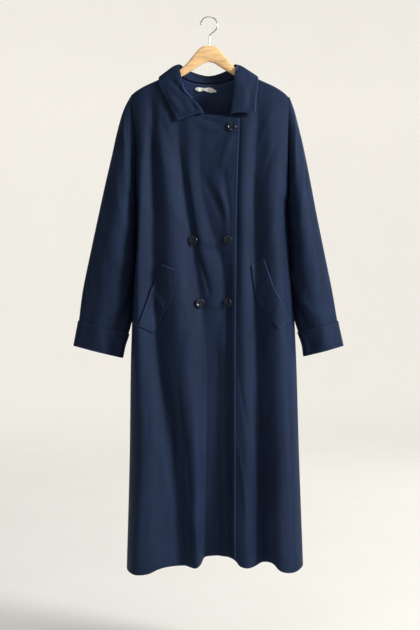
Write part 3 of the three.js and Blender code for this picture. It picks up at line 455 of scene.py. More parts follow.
def underlap_inset(x, z):
    """How far the left front steps in under the right one, easing off past the front edge."""
    edge = front_edge_at(z)
    under = (bpy.context.scene.coat_settings.cloth * 1000 + UNDERLAP["gap"]
             + UNDERLAP["hem_gap"] * smoothstep(-z, 950, 1300))
    out = under * (1 - smoothstep(x, edge, edge + UNDERLAP["edge_width"]))
    deep = UNDERLAP["ease"] * smoothstep(edge - x, 0, UNDERLAP["ease_width"])
    return (out + deep) * smoothstep(UNDERLAP["from"] - z, 0, UNDERLAP["run"])


def dense_toward(start, end, count, power):
    """Numbers from start to end whose spacing shrinks toward the end."""
    return end + (start - end) * (1 - np.linspace(0, 1, count)) ** power


def panel_grid(face, across, top_of, hem, rows, point_y):
    """Points of a panel: each column runs from its top edge to its hem, closer near the shoulder.

    across gives a column's place at a height. The top edge is found by going back and forth between the
    column's place and the edge's height there.
    """
    top = np.full(across(np.array([HEM_LEVEL])).shape[0], -200.0)
    for _ in range(14):
        top = top_of(across(top[:, None])[:, 0])
    bottom = smooth_read(hem[:, 0], hem[:, 1], across(np.full((len(top), 1), HEM_LEVEL))[:, 0])
    share = np.linspace(0, 1, rows) ** 1.45
    z = top[:, None] + (bottom - top)[:, None] * share[None]
    x = across(z)
    return np.stack([x, point_y(x, z), z], axis=-1)


def right_front_grid():
    columns = np.concatenate([np.linspace(-1, 5.55, 132)[:-1], dense_toward(5.55, 6, 22, 1.7)])

    def across(z):
        return column_x("front", columns[:, None], np.broadcast_to(z, (len(columns), z.shape[-1])))

    def point_y(x, z):
        lift = EDGE_LIFT["out"] * np.exp(-((front_edge_at(z) - x) / EDGE_LIFT["width"]) ** 2)
        return surface_y("front", x, z) - lift * smoothstep(-z, *EDGE_LIFT["heights"])

    return panel_grid("front", across, right_top, RIGHT_HEM, 250, point_y)


def left_front_grid():
    hidden = np.linspace(UNDERLAP["start"], UNDERLAP["end"], 42)
    columns = np.linspace(6, 10, 90)

    def across(z):
        z = np.broadcast_to(z, (len(hidden) + len(columns), z.shape[-1]))
        slide = np.maximum(0, hidden - UNDERLAP["still"]) / (FRONT_EDGE["x"] - UNDERLAP["still"])
        shift = front_edge_at(z[: len(hidden)]) - FRONT_EDGE["x"]
        under = hidden[:, None] + slide[:, None] * shift
        return np.concatenate([under, column_x("front", columns[:, None], z[len(hidden):])])

    def point_y(x, z):
        return surface_y("front", x, z) + underlap_inset(x, z)

    return panel_grid("front", across, left_top, LEFT_HEM, 250, point_y)


def back_grid():
    columns = np.linspace(-1, 7, 170)

    def across(z):
        return column_x("back", columns[:, None], np.broadcast_to(z, (len(columns), z.shape[-1])))

    return panel_grid("back", across, back_top, BACK_HEM, 250, lambda x, z: surface_y("back", x, z))


# Grids

def unit(vectors):
    return vectors / np.maximum(np.linalg.norm(vectors, axis=-1, keepdims=True), 1e-9)


def normals_of(grid, wrap=False):
    """Direction of a grid's surface: the cross product of its slopes along the lines and along the steps."""
    along = np.gradient(grid, axis=0)
    if wrap:
        across = (np.roll(grid, -1, axis=1) - np.roll(grid, 1, axis=1)) / 2
    else:
        across = np.gradient(grid, axis=1)
    return unit(np.cross(along, across))


def reach_of(grid, axis):
    """Distance walked along one direction of a grid, from its start."""
    step = np.linalg.norm(np.diff(grid, axis=axis), axis=-1)
    start = np.zeros_like(np.take(step, [0], axis=axis))
    return np.concatenate([start, np.cumsum(step, axis=axis)], axis=axis)


def inset_line(grid, normals, distance):
    """Points and directions on a grid at a distance from the first step of each of its lines."""
    reach = reach_of(grid, 1)
    lines = np.arange(len(grid))
    k = np.clip((reach < distance).sum(axis=1), 1, grid.shape[1] - 1)
    gap = np.maximum(reach[lines, k] - reach[lines, k - 1], 1e-6)
    t = np.clip((distance - reach[lines, k - 1]) / gap, 0, 1)[:, None]
    point = grid[lines, k - 1] * (1 - t) + grid[lines, k] * t
    direction = unit(normals[lines, k - 1] * (1 - t) + normals[lines, k] * t)
    return point, direction


def level_line(grid, normals, z):
    """Points and directions where each line of a grid passes a height on its way down."""
    lines = np.arange(len(grid))
    k = np.clip((grid[..., 2] > z).sum(axis=1), 1, grid.shape[1] - 1)
    above, below = grid[lines, k - 1], grid[lines, k]
    t = np.clip((above[:, 2] - z) / np.maximum(above[:, 2] - below[:, 2], 1e-6), 0, 1)[:, None]
    return above * (1 - t) + below * t, unit(normals[lines, k - 1] * (1 - t) + normals[lines, k] * t)


def grid_faces(lines, steps, wrap=False):
    """Four-sided faces of a grid of points."""
    last = steps if wrap else steps - 1
    i, j = np.meshgrid(np.arange(lines - 1), np.arange(last), indexing="ij")
    on = (j + 1) % steps
    quads = [i * steps + j, (i + 1) * steps + j, (i + 1) * steps + on, i * steps + on]
    return np.stack(quads, axis=-1).reshape(-1, 4)


def rim_of(outer, inner, wrap, rims):
    """Loops of a shell's free edges: index pairs on the two skins, and the rounded edge between them.

    The edge's middle lies between the two skins, pushed outward along the cloth by the given share of its
    thickness. rims gives that share for the first line, last line, first step and last step.
    """
    lines, steps = outer.shape[:2]
    number = np.arange(lines * steps).reshape(lines, steps)
    first, last, low, high = rims
    if wrap:
        sides = [(number[0], number[1], first), (number[-1][::-1], number[-2][::-1], last)]
        loops = [([ids], [near], [np.full(len(ids), share)]) for ids, near, share in sides]
    else:
        ids = [number[:-1, 0], number[-1, :-1], number[:0:-1, -1], number[0, :0:-1]]
        near = [number[:-1, 1], number[-2, :-1], number[:0:-1, -2], number[1, :0:-1]]
        shares = [np.full(len(i), s) for i, s in zip(ids, (low, last, high, first))]
        loops = [(ids, near, shares)]
    flat_outer, flat_inner = outer.reshape(-1, 3), inner.reshape(-1, 3)
    made = []
    for ids, near, shares in loops:
        ids, near, shares = np.concatenate(ids), np.concatenate(near), np.concatenate(shares)
        away = unit(flat_outer[ids] - flat_outer[near])
        thick = np.linalg.norm(flat_outer[ids] - flat_inner[ids], axis=1)
        middle = (flat_outer[ids] + flat_inner[ids]) / 2 + away * (thick * shares)[:, None]
        made.append((ids, middle))
    return made


def shell_mesh(outer, inner, wrap=False, rims=(0.4, 0.4, 0.4, 0.4)):
    """Points and faces of a closed shell between an outer and an inner grid, with rounded free edges.

    Returns points, faces and which of the faces belong to the inner skin. Faces are turned round as a
    whole if the shell's signed volume is below zero.
    """
    lines, steps = outer.shape[:2]
    count = lines * steps
    points = [outer.reshape(-1, 3), inner.reshape(-1, 3)]
    outside = grid_faces(lines, steps, wrap)
    faces = [outside, outside[:, ::-1] + count]
    start = 2 * count
    for ids, middle in rim_of(outer, inner, wrap, rims):
        ring = start + np.arange(len(ids))
        points.append(middle)
        start += len(ids)
        on, ring_on = np.roll(ids, -1), np.roll(ring, -1)
        faces.append(np.stack([on, ids, ring, ring_on], axis=1))
        faces.append(np.stack([ring_on, ring, ids + count, on + count], axis=1))
    points, faces = np.concatenate(points), np.concatenate(faces)
    a, b, c, d = (points[faces[:, k]] for k in range(4))
    volume = (a * np.cross(b, c)).sum() + (a * np.cross(c, d)).sum()
    if volume < 0:
        faces = faces[:, ::-1]
    lining = np.zeros(len(faces), bool)
    lining[len(outside):2 * len(outside)] = True
    return points, faces, lining


# Meshes

def new_object(name, points, faces, material):
    """A smooth mesh object in metres from points in millimetres."""
    mesh = bpy.data.meshes.new(name)
    mesh.from_pydata(np.asarray(points, float) * MM, [], np.asarray(faces))
    mesh.validate()
    mesh.materials.append(material)
    mesh.shade_smooth()
    piece = bpy.data.objects.new(name, mesh)
    bpy.context.scene.collection.objects.link(piece)
    return piece


def set_uv(mesh, name, values):
    """Writes one pair for each point to a UV map, through each corner's point."""
    layer = mesh.uv_layers.new(name=name)
    corner = np.empty(len(mesh.loops), np.int32)
    mesh.loops.foreach_get("vertex_index", corner)
    layer.data.foreach_set("uv", values[corner].astype(np.float32).ravel())


def set_gap(mesh, name, values):
    attribute = mesh.attributes.new(name, "FLOAT", "POINT")
    attribute.data.foreach_set("value", values.astype(np.float32))


def cloth_piece(name, outer, inner, wrap=False, rims=(0.4, 0.4, 0.4, 0.4), stitch_gap=None, edge_gap=None):
    """A shell of gabardine with its weave's UV map in metres, and its distances to stitching and edges."""
    points, faces, lining = shell_mesh(outer, inner, wrap, rims)
    piece = new_object(name, points, faces, gabardine_material())
    mesh = piece.data
    mesh.materials.append(lining_material())
    inner_face = np.zeros(len(mesh.polygons), np.int32)
    inner_face[: len(faces)] = lining[: len(inner_face)]
    mesh.polygons.foreach_set("material_index", inner_face)
    across, down = reach_of(outer, 0), reach_of(outer, 1)
    skin = np.stack([across, down], axis=-1).reshape(-1, 2) * MM
    rim = np.concatenate([skin[ids] for ids, _ in rim_of(outer, inner, wrap, rims)])
    set_uv(mesh, "cloth", np.concatenate([skin, skin, rim]))
    for key, gap in (("stitch_gap", stitch_gap), ("edge_gap", edge_gap)):
        values = np.full(outer.shape[:2], 100.0) if gap is None else gap
        flat = values.reshape(-1)
        edge = np.concatenate([flat[ids] for ids, _ in rim_of(outer, inner, wrap, rims)])
        set_gap(mesh, key, np.concatenate([flat, np.full_like(flat, 100.0), edge]))
    return piece


STITCH_RINGS = np.array([(-0.5, 0.35, 0.1), (-0.3, 1.0, 0.75), (0.3, 1.0, 0.75), (0.5, 0.35, 0.1)])


def stitch_mesh(paths):
    """Stitches along paths of points and directions.

    A path is cut into even lengths by distance. Each stitch is a short four-sided thread that rises from
    the cloth, runs along it and goes in again: a profile of half lengths, thickness and rise.
    """
    settings = bpy.context.scene.coat_settings
    length, pitch = settings.stitch_length * 1000, (settings.stitch_length + settings.stitch_space) * 1000
    radius = settings.thread * 500
    all_points, all_faces, start = [], [], 0
    for points, directions in paths:
        walked = np.concatenate([[0], np.cumsum(np.linalg.norm(np.diff(points, axis=0), axis=1))])
        at = np.arange(pitch / 2, walked[-1] - pitch / 2, pitch)
        if not len(at):
            continue
        centre = np.stack([np.interp(at, walked, points[:, k]) for k in range(3)], axis=-1)
        up = unit(np.stack([np.interp(at, walked, directions[:, k]) for k in range(3)], axis=-1))
        ahead = np.stack([np.interp(at + 0.5, walked, points[:, k]) for k in range(3)], axis=-1)
        tangent = unit(ahead - centre)
        side = unit(np.cross(tangent, up))
        turn = np.pi / 4 + np.arange(4) * np.pi / 2
        along = STITCH_RINGS[:, 0] * length
        thick = STITCH_RINGS[:, 1] * radius
        rise = STITCH_RINGS[:, 2] * radius
        ring_up = (rise[:, None] + thick[:, None] * np.sin(turn)).ravel()
        ring_side = (thick[:, None] * np.cos(turn)).ravel()
        ring_along = np.repeat(along, 4)
        stitch = (centre[:, None] + tangent[:, None] * ring_along[None, :, None]
                  + side[:, None] * ring_side[None, :, None] + up[:, None] * ring_up[None, :, None])
        quads = np.concatenate([grid_faces(4, 4, wrap=True), [[0, 1, 2, 3]], [[15, 14, 13, 12]]])
        offset = start + np.arange(len(at))[:, None, None] * 16
        all_points.append(stitch.reshape(-1, 3))
        all_faces.append((quads[None] + offset).reshape(-1, 4))
        start += 16 * len(at)
    return np.concatenate(all_points), np.concatenate(all_faces)


def stitching(name, paths):
    points, faces = stitch_mesh(paths)
    piece = new_object(name, points, faces, thread_material())
    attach(piece, BODY_NAME)
    return piece


def replace_node(piece, node):
    """Lets a finished piece stand for its solid."""
    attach(piece, BODY_NAME)
    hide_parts(node)


# Materials

def new_material(name):
    material = bpy.data.materials.get(name) or bpy.data.materials.new(name)
    material.use_nodes = True
    material.node_tree.nodes.clear()
    return material


def add_node(material, kind, **values):
    """Adds a node; each value sets the input of that name, or else the node's own property."""
    node = material.node_tree.nodes.new(kind)
    for key, value in values.items():
        socket = node.inputs.get(key.replace("_", " "))
        if socket is not None and not hasattr(node, key):
            socket.default_value = value
        else:
            setattr(node, key, value)
    return node


def join(material, *pairs):
    for source, target in pairs:
        material.node_tree.links.new(source, target)


def ramp(material, source, stops):
    """A colour ramp over a value, from pairs of place and colour."""
    node = add_node(material, "ShaderNodeValToRGB")
    elements = node.color_ramp.elements
    while len(elements) < len(stops):
        elements.new(0.5)
    for element, (place, color) in zip(elements, stops):
        element.position = place
        element.color = (*color, 1)
    join(material, (source, node.inputs["Fac"]))
    return node.outputs["Color"]


def shaded(material, **values):
    """The surface shader and the output, with constants set on the shader's own sockets."""
    shader = add_node(material, "ShaderNodeBsdfPrincipled")
    for key, value in values.items():
        shader.inputs[key.replace("_", " ")].default_value = value
    output = add_node(material, "ShaderNodeOutputMaterial")
    join(material, (shader.outputs["BSDF"], output.inputs["Surface"]))
    return shader


def bump(material, height, strength, distance, under=None):
    node = add_node(material, "ShaderNodeBump", Strength=strength, Distance=distance)
    join(material, (height, node.inputs["Height"]))
    if under is not None:
        join(material, (under, node.inputs["Normal"]))
    return node.outputs["Normal"]


def math_node(material, operation, *values):
    node = add_node(material, "ShaderNodeMath", operation=operation)
    for socket, value in zip(node.inputs, values):
        if isinstance(value, bpy.types.NodeSocket):
            join(material, (value, socket))
        else:
            socket.default_value = value
    return node.outputs["Value"]


def bell(material, value, width):
    """exp(-(value / width) squared), for bands beside a line of stitching."""
    share = math_node(material, "DIVIDE", value, width)
    square = math_node(material, "MULTIPLY", share, share)
    return math_node(material, "EXPONENT", math_node(material, "MULTIPLY", square, -1.0))


def tinted(color, share):
    return tuple(min(1.0, channel * share) for channel in color)


def gabardine_material():
    """Navy twill: diagonal cords in the cloth's own UV map, slubs and soft worn patches, long vertical streaks of
    painted sheen in its colour, a sheen, a groove and puckers beside each line of stitching, and a paler worn edge."""
    found = bpy.data.materials.get("navy_twill")
    if found:
        return found
    settings = bpy.context.scene.coat_settings
    color = tuple(settings.cloth_color)
    material = new_material("navy_twill")
    uv = add_node(material, "ShaderNodeUVMap", uv_map="cloth").outputs["UV"]
    place = add_node(material, "ShaderNodeTexCoord").outputs["Object"]
    turned = add_node(material, "ShaderNodeMapping")
    turned.inputs["Rotation"].default_value = (0, 0, math.radians(27))
    join(material, (uv, turned.inputs["Vector"]))
    cord = add_node(material, "ShaderNodeTexWave", Scale=235.0, Distortion=0.6, Detail=1.0)
    cord.inputs["Detail Scale"].default_value = 1.5
    join(material, (turned.outputs["Vector"], cord.inputs["Vector"]))
    slub = add_node(material, "ShaderNodeTexNoise", Scale=850.0, Detail=3.0)
    join(material, (uv, slub.inputs["Vector"]))
    patch = add_node(material, "ShaderNodeTexNoise", Scale=7.0, Detail=5.0, Roughness=0.62)
    join(material, (place, patch.inputs["Vector"]))
    stitch_gap = add_node(material, "ShaderNodeAttribute", attribute_name="stitch_gap").outputs["Fac"]
    edge_gap = add_node(material, "ShaderNodeAttribute", attribute_name="edge_gap").outputs["Fac"]

    # Long vertical streaks of noise brighten and darken the colour: painted sheen, mixed with the worn patches'
    # random tone.
    sheen_streak_stretch = add_node(material, "ShaderNodeMapping")
    sheen_streak_stretch.inputs["Scale"].default_value = (60, 60, 5)
    streak = add_node(material, "ShaderNodeTexNoise", Scale=1.0, Detail=3.0, Roughness=0.55)
    join(material, (place, sheen_streak_stretch.inputs["Vector"]), (sheen_streak_stretch.outputs["Vector"], streak.inputs["Vector"]))
    patches_and_painted_sheen = math_node(material, "MULTIPLY", math_node(material, "ADD", patch.outputs["Fac"],
                                                       streak.outputs["Fac"]), 0.5)
    tone = ramp(material, patches_and_painted_sheen, [(0.36, tinted(color, 0.78)), (0.64, tinted(color, 1.22))])
    grain = add_node(material, "ShaderNodeMix", data_type="RGBA", blend_type="MULTIPLY")
    grain.inputs["Factor"].default_value = 0.32
    join(material, (tone, grain.inputs[6]), (cord.outputs["Color"], grain.inputs[7]))
    worn = add_node(material, "ShaderNodeMix", data_type="RGBA", blend_type="MIX")
    worn.inputs[7].default_value = (*tinted(color, 2.1), 1)
    wear = math_node(material, "MULTIPLY", bell(material, edge_gap, 1.3), 0.55)
    join(material, (wear, worn.inputs["Factor"]), (grain.outputs[2], worn.inputs[6]))

    shader = shaded(material, Sheen_Weight=0.012, Sheen_Roughness=0.4,
                    Sheen_Tint=(*tinted(color, 14.0), 1), Specular_IOR_Level=0.06)
    rough = add_node(material, "ShaderNodeMapRange")
    rough.inputs["To Min"].default_value = 0.56
    rough.inputs["To Max"].default_value = 0.72
    join(material, (patch.outputs["Fac"], rough.inputs["Value"]),
         (rough.outputs["Result"], shader.inputs["Roughness"]),
         (worn.outputs[2], shader.inputs["Base Color"]))

    pucker = add_node(material, "ShaderNodeTexNoise", Scale=150.0, Detail=2.0)
    join(material, (uv, pucker.inputs["Vector"]))
    band = math_node(material, "MULTIPLY", bell(material, stitch_gap, 6.0), pucker.outputs["Fac"])
    groove = math_node(material, "SUBTRACT", band, bell(material, stitch_gap, 1.2))
    rumple = add_node(material, "ShaderNodeTexNoise", Scale=26.0, Detail=3.0, Roughness=0.5)
    join(material, (place, rumple.inputs["Vector"]))
    normal = bump(material, rumple.outputs["Fac"], 0.35, 0.004)
    normal = bump(material, groove, 0.8, 0.0009, normal)
    normal = bump(material, cord.outputs["Fac"], 0.35, 0.00022, normal)
    normal = bump(material, slub.outputs["Fac"], 0.25, 0.00015, normal)
    join(material, (normal, shader.inputs["Normal"]))
    return material


def lining_material():
    """Smooth dark twill of the coat's inside, with a finer cord and a softer gloss."""
    found = bpy.data.materials.get("inside_cloth")
    if found:
        return found
    color = tinted(tuple(bpy.context.scene.coat_settings.cloth_color), 1.9)
    material = new_material("inside_cloth")
    uv = add_node(material, "ShaderNodeUVMap", uv_map="cloth").outputs["UV"]
    cord = add_node(material, "ShaderNodeTexWave", Scale=310.0, Distortion=0.4)
    join(material, (uv, cord.inputs["Vector"]))
    patch = add_node(material, "ShaderNodeTexNoise", Scale=12.0, Detail=4.0)
    join(material, (uv, patch.inputs["Vector"]))
    tone = ramp(material, patch.outputs["Fac"], [(0.3, tinted(color, 0.85)), (0.7, tinted(color, 1.15))])
    shader = shaded(material, Roughness=0.5, Specular_IOR_Level=0.1)
    normal = bump(material, cord.outputs["Fac"], 0.25, 0.0002)
    join(material, (tone, shader.inputs["Base Color"]), (normal, shader.inputs["Normal"]))
    return material


def thread_material():
    """Twisted sewing thread a little paler than the cloth."""
    found = bpy.data.materials.get("sewing_thread")
    if found:
        return found
    color = tinted(tuple(bpy.context.scene.coat_settings.cloth_color), 1.35)
    material = new_material("sewing_thread")
    place = add_node(material, "ShaderNodeTexCoord").outputs["Object"]
    twist = add_node(material, "ShaderNodeTexNoise", Scale=1400.0, Detail=2.0)
    join(material, (place, twist.inputs["Vector"]))
    tone = ramp(material, twist.outputs["Fac"], [(0.3, tinted(color, 0.8)), (0.7, tinted(color, 1.2))])
    shader = shaded(material, Roughness=0.5, Specular_IOR_Level=0.15)
    join(material, (tone, shader.inputs["Base Color"]))
    return material


def button_material():
    """Polished dark horn-like resin with faint swirls."""
    found = bpy.data.materials.get("button_resin")
    if found:
        return found
    color = tuple(bpy.context.scene.coat_settings.button_color)
    material = new_material("button_resin")
    place = add_node(material, "ShaderNodeTexCoord").outputs["Object"]
    swirl = add_node(material, "ShaderNodeTexNoise", Scale=160.0, Detail=4.0, Distortion=2.0)
    join(material, (place, swirl.inputs["Vector"]))
    tone = ramp(material, swirl.outputs["Fac"], [(0.35, tinted(color, 0.5)), (0.7, tinted(color, 1.2))])
    scuff = add_node(material, "ShaderNodeMapRange")
    scuff.inputs["To Min"].default_value = 0.16
    scuff.inputs["To Max"].default_value = 0.28
    shader = shaded(material, Specular_IOR_Level=0.4)
    join(material, (swirl.outputs["Fac"], scuff.inputs["Value"]),
         (scuff.outputs["Result"], shader.inputs["Roughness"]), (tone, shader.inputs["Base Color"]))
    return material


def wood_material():
    """Varnished beech: long streaks and short flecks stretched along the arms."""
    color = tuple(bpy.context.scene.coat_settings.wood_color)
    material = new_material("varnished_beech")
    place = add_node(material, "ShaderNodeTexCoord").outputs["Object"]
    stretch = add_node(material, "ShaderNodeMapping")
    stretch.inputs["Scale"].default_value = (7, 60, 60)
    join(material, (place, stretch.inputs["Vector"]))
    streak = add_node(material, "ShaderNodeTexNoise", Scale=3.0, Detail=6.0, Distortion=0.8)
    fleck = add_node(material, "ShaderNodeTexNoise", Scale=22.0, Detail=2.0)
    join(material, (stretch.outputs["Vector"], streak.inputs["Vector"]),
         (stretch.outputs["Vector"], fleck.inputs["Vector"]))
    tone = ramp(material, streak.outputs["Fac"],
                [(0.3, tinted(color, 0.72)), (0.52, color), (0.75, tinted(color, 1.18))])
    dark = ramp(material, fleck.outputs["Fac"], [(0.3, (0.62, 0.55, 0.5)), (0.42, (1, 1, 1))])
    mixed = add_node(material, "ShaderNodeMix", data_type="RGBA", blend_type="MULTIPLY")
    mixed.inputs["Factor"].default_value = 0.5
    join(material, (tone, mixed.inputs[6]), (dark, mixed.inputs[7]))
    shader = shaded(material, Roughness=0.36, Coat_Weight=0.5, Coat_Roughness=0.16)
    normal = bump(material, streak.outputs["Fac"], 0.15, 0.0006)
    join(material, (mixed.outputs[2], shader.inputs["Base Color"]), (normal, shader.inputs["Normal"]))
    return material


def steel_material():
    """Bright plated wire with fine scratches along it."""
    material = new_material("plated_wire")
    place = add_node(material, "ShaderNodeTexCoord").outputs["Object"]
    scratch = add_node(material, "ShaderNodeTexNoise", Scale=420.0, Detail=3.0)
    join(material, (place, scratch.inputs["Vector"]))
    rough = add_node(material, "ShaderNodeMapRange")
    rough.inputs["To Min"].default_value = 0.14
    rough.inputs["To Max"].default_value = 0.34
    shader = shaded(material, Metallic=1.0)
    tone = ramp(material, scratch.outputs["Fac"], [(0.3, (0.58, 0.58, 0.58)), (0.7, (0.8, 0.8, 0.79))])
    join(material, (scratch.outputs["Fac"], rough.inputs["Value"]),
         (rough.outputs["Result"], shader.inputs["Roughness"]), (tone, shader.inputs["Base Color"]))
    return material


def tape_material():
    """Bare off-white woven tape."""
    color = tuple(bpy.context.scene.coat_settings.tape_color)
    material = new_material("label_tape")
    place = add_node(material, "ShaderNodeTexCoord").outputs["Object"]
    weave = add_node(material, "ShaderNodeTexNoise", Scale=900.0, Detail=2.0)
    join(material, (place, weave.inputs["Vector"]))
    tone = ramp(material, weave.outputs["Fac"], [(0.3, tinted(color, 0.9)), (0.7, tinted(color, 1.05))])
    shader = shaded(material, Roughness=0.75, Sheen_Weight=0.15)
    normal = bump(material, weave.outputs["Fac"], 0.4, 0.0002)
    join(material, (tone, shader.inputs["Base Color"]), (normal, shader.inputs["Normal"]))
    return material


# Sizes and colours a user may change

class CoatSettings(bpy.types.PropertyGroup):
    cloth: FloatProperty(name="Cloth", description="Thickness of the coat's cloth",
                         default=0.002, min=0.0005, max=0.004, unit="LENGTH", precision=4)
    doubled_cloth: FloatProperty(name="Doubled cloth", description="Thickness of collar, cuffs and flaps",
                                 default=0.0025, min=0.001, max=0.005, unit="LENGTH", precision=4)
    crest_height: FloatProperty(name="Crests", description="Height of the long folds' crests",
                                default=1.15, min=0.0, max=2.0, subtype="FACTOR")
    trough_depth: FloatProperty(name="Troughs", description="Depth of the long folds' troughs",
                                default=1.5, min=0.0, max=2.0, subtype="FACTOR")
    crease_strength: FloatProperty(name="Creases", description="Height of the small creases",
                                   default=1.0, min=0.0, max=2.0, subtype="FACTOR")
    stitch_inset: FloatProperty(name="Stitch inset", description="Topstitching's distance from an edge",
                                default=0.0075, min=0.002, max=0.02, unit="LENGTH", precision=4)
    hem_depth: FloatProperty(name="Hem", description="Height of the hem's stitching above the edge",
                             default=0.04, min=0.01, max=0.08, unit="LENGTH", precision=3)
    stitch_length: FloatProperty(name="Stitch", description="Length of one stitch",
                                 default=0.0034, min=0.001, max=0.01, unit="LENGTH", precision=4)
    stitch_space: FloatProperty(name="Stitch space", description="Space between two stitches",
                                default=0.0012, min=0.0002, max=0.005, unit="LENGTH", precision=4)
    thread: FloatProperty(name="Thread", description="Thickness of the sewing thread",
                          default=0.0006, min=0.0002, max=0.002, unit="LENGTH", precision=4)
    button_sides: IntProperty(name="Button sides", description="Faces round a button",
                              default=64, min=16, max=128)
    cloth_color: FloatVectorProperty(name="Cloth", description="Colour of the gabardine", subtype="COLOR",
                                     default=(0.0132, 0.0232, 0.0540), min=0, max=1)
    button_color: FloatVectorProperty(name="Buttons", description="Colour of the buttons", subtype="COLOR",
                                      default=(0.005, 0.008, 0.017), min=0, max=1)
    wood_color: FloatVectorProperty(name="Wood", description="Colour of the hanger", subtype="COLOR",
                                    default=(0.82, 0.52, 0.25), min=0, max=1)
    tape_color: FloatVectorProperty(name="Tape", description="Colour of the neck label", subtype="COLOR",
                                    default=(0.94, 0.92, 0.88), min=0, max=1)


def gap_to(distance, line):
    """Distance in millimetres from a line of stitching that lies at line from the same edge."""
    return np.abs(distance - line)


class COAT_OT_fronts(bpy.types.Operator):
    """Make the right and left front, with their topstitching"""

    bl_idname = "coat.make_fronts"
    bl_label = "Fronts"

    def execute(self, context):
        settings = context.scene.coat_settings
        inset, hem = settings.stitch_inset * 1000, settings.hem_depth * 1000
        cloth = settings.cloth * 1000

        grid = right_front_grid()
        outward = normals_of(grid)
        outward *= -np.sign(outward[..., 1].mean())
        inner = grid - outward * cloth
        inner[..., 1] = np.minimum(inner[..., 1], -SEAM / 2)
        to_edge = reach_of(grid, 0)[-1][None] - reach_of(grid, 0)
        to_hem = reach_of(grid, 1)[:, -1:] - reach_of(grid, 1)
        stitch_gap = np.minimum(gap_to(to_edge, inset), gap_to(to_hem, hem))
        piece = cloth_piece("front_right_cloth", grid, inner, rims=(0, 0.4, 0, 0.4),
                            stitch_gap=stitch_gap, edge_gap=np.minimum(to_edge, to_hem))
        replace_node(piece, "front_right")
        edge_in = grid.transpose(1, 0, 2)[:, ::-1]
        edge_path = inset_line(edge_in, outward.transpose(1, 0, 2)[:, ::-1], inset)
        hem_path = inset_line(grid[:, ::-1], outward[:, ::-1], hem)
        top = grid[:, 0, 0] > RIGHT_COLLAR_END + 4
        top_path = inset_line(grid[top], outward[top], inset)
        stitches = stitching("front_right_stitches", [
            tuple(part[8:] for part in edge_path),
            tuple(part[:-6] for part in hem_path),
            tuple(part[:-6] for part in top_path),
        ])

        grid = left_front_grid()
        outward = normals_of(grid)
        outward *= -np.sign(outward[..., 1].mean())
        inner = grid - outward * cloth
        inner[..., 1] = np.minimum(inner[..., 1], -SEAM / 2)
        to_hem = reach_of(grid, 1)[:, -1:] - reach_of(grid, 1)
        piece = cloth_piece("front_left_cloth", grid, inner, rims=(0.4, 0, 0, 0.4),
                            stitch_gap=gap_to(to_hem, hem), edge_gap=to_hem)
        replace_node(piece, "front_left")
        hem_path = inset_line(grid[:, ::-1], outward[:, ::-1], hem)
        stitches = stitching("front_left_stitches", [hem_path])
        return {"FINISHED"}


class COAT_OT_back(bpy.types.Operator):
    """Make the plain back"""

    bl_idname = "coat.make_back"
    bl_label = "Back"

    def execute(self, context):
        settings = context.scene.coat_settings
        hem = settings.hem_depth * 1000
        grid = back_grid()
        outward = normals_of(grid)
        outward *= np.sign(outward[..., 1].mean())
        inner = grid - outward * settings.cloth * 1000
        inner[..., 1] = np.maximum(inner[..., 1], SEAM / 2)
        to_hem = reach_of(grid, 1)[:, -1:] - reach_of(grid, 1)
        piece = cloth_piece("back_cloth", grid, inner, rims=(0, 0, 0, 0.4),
                            stitch_gap=gap_to(to_hem, hem), edge_gap=to_hem)
        replace_node(piece, "back")
        hem_path = inset_line(grid[:, ::-1], outward[:, ::-1], hem)
        facing_paths = []
        for z in NECK_FACING["rows"]:
            point, direction = level_line(inner, -outward, z)
            seen = np.abs(point[:, 0]) < NECK_FACING["half_width"]
            facing_paths.append((point[seen], direction[seen]))
        stitches = stitching("back_stitches", [hem_path, *facing_paths])
        return {"FINISHED"}


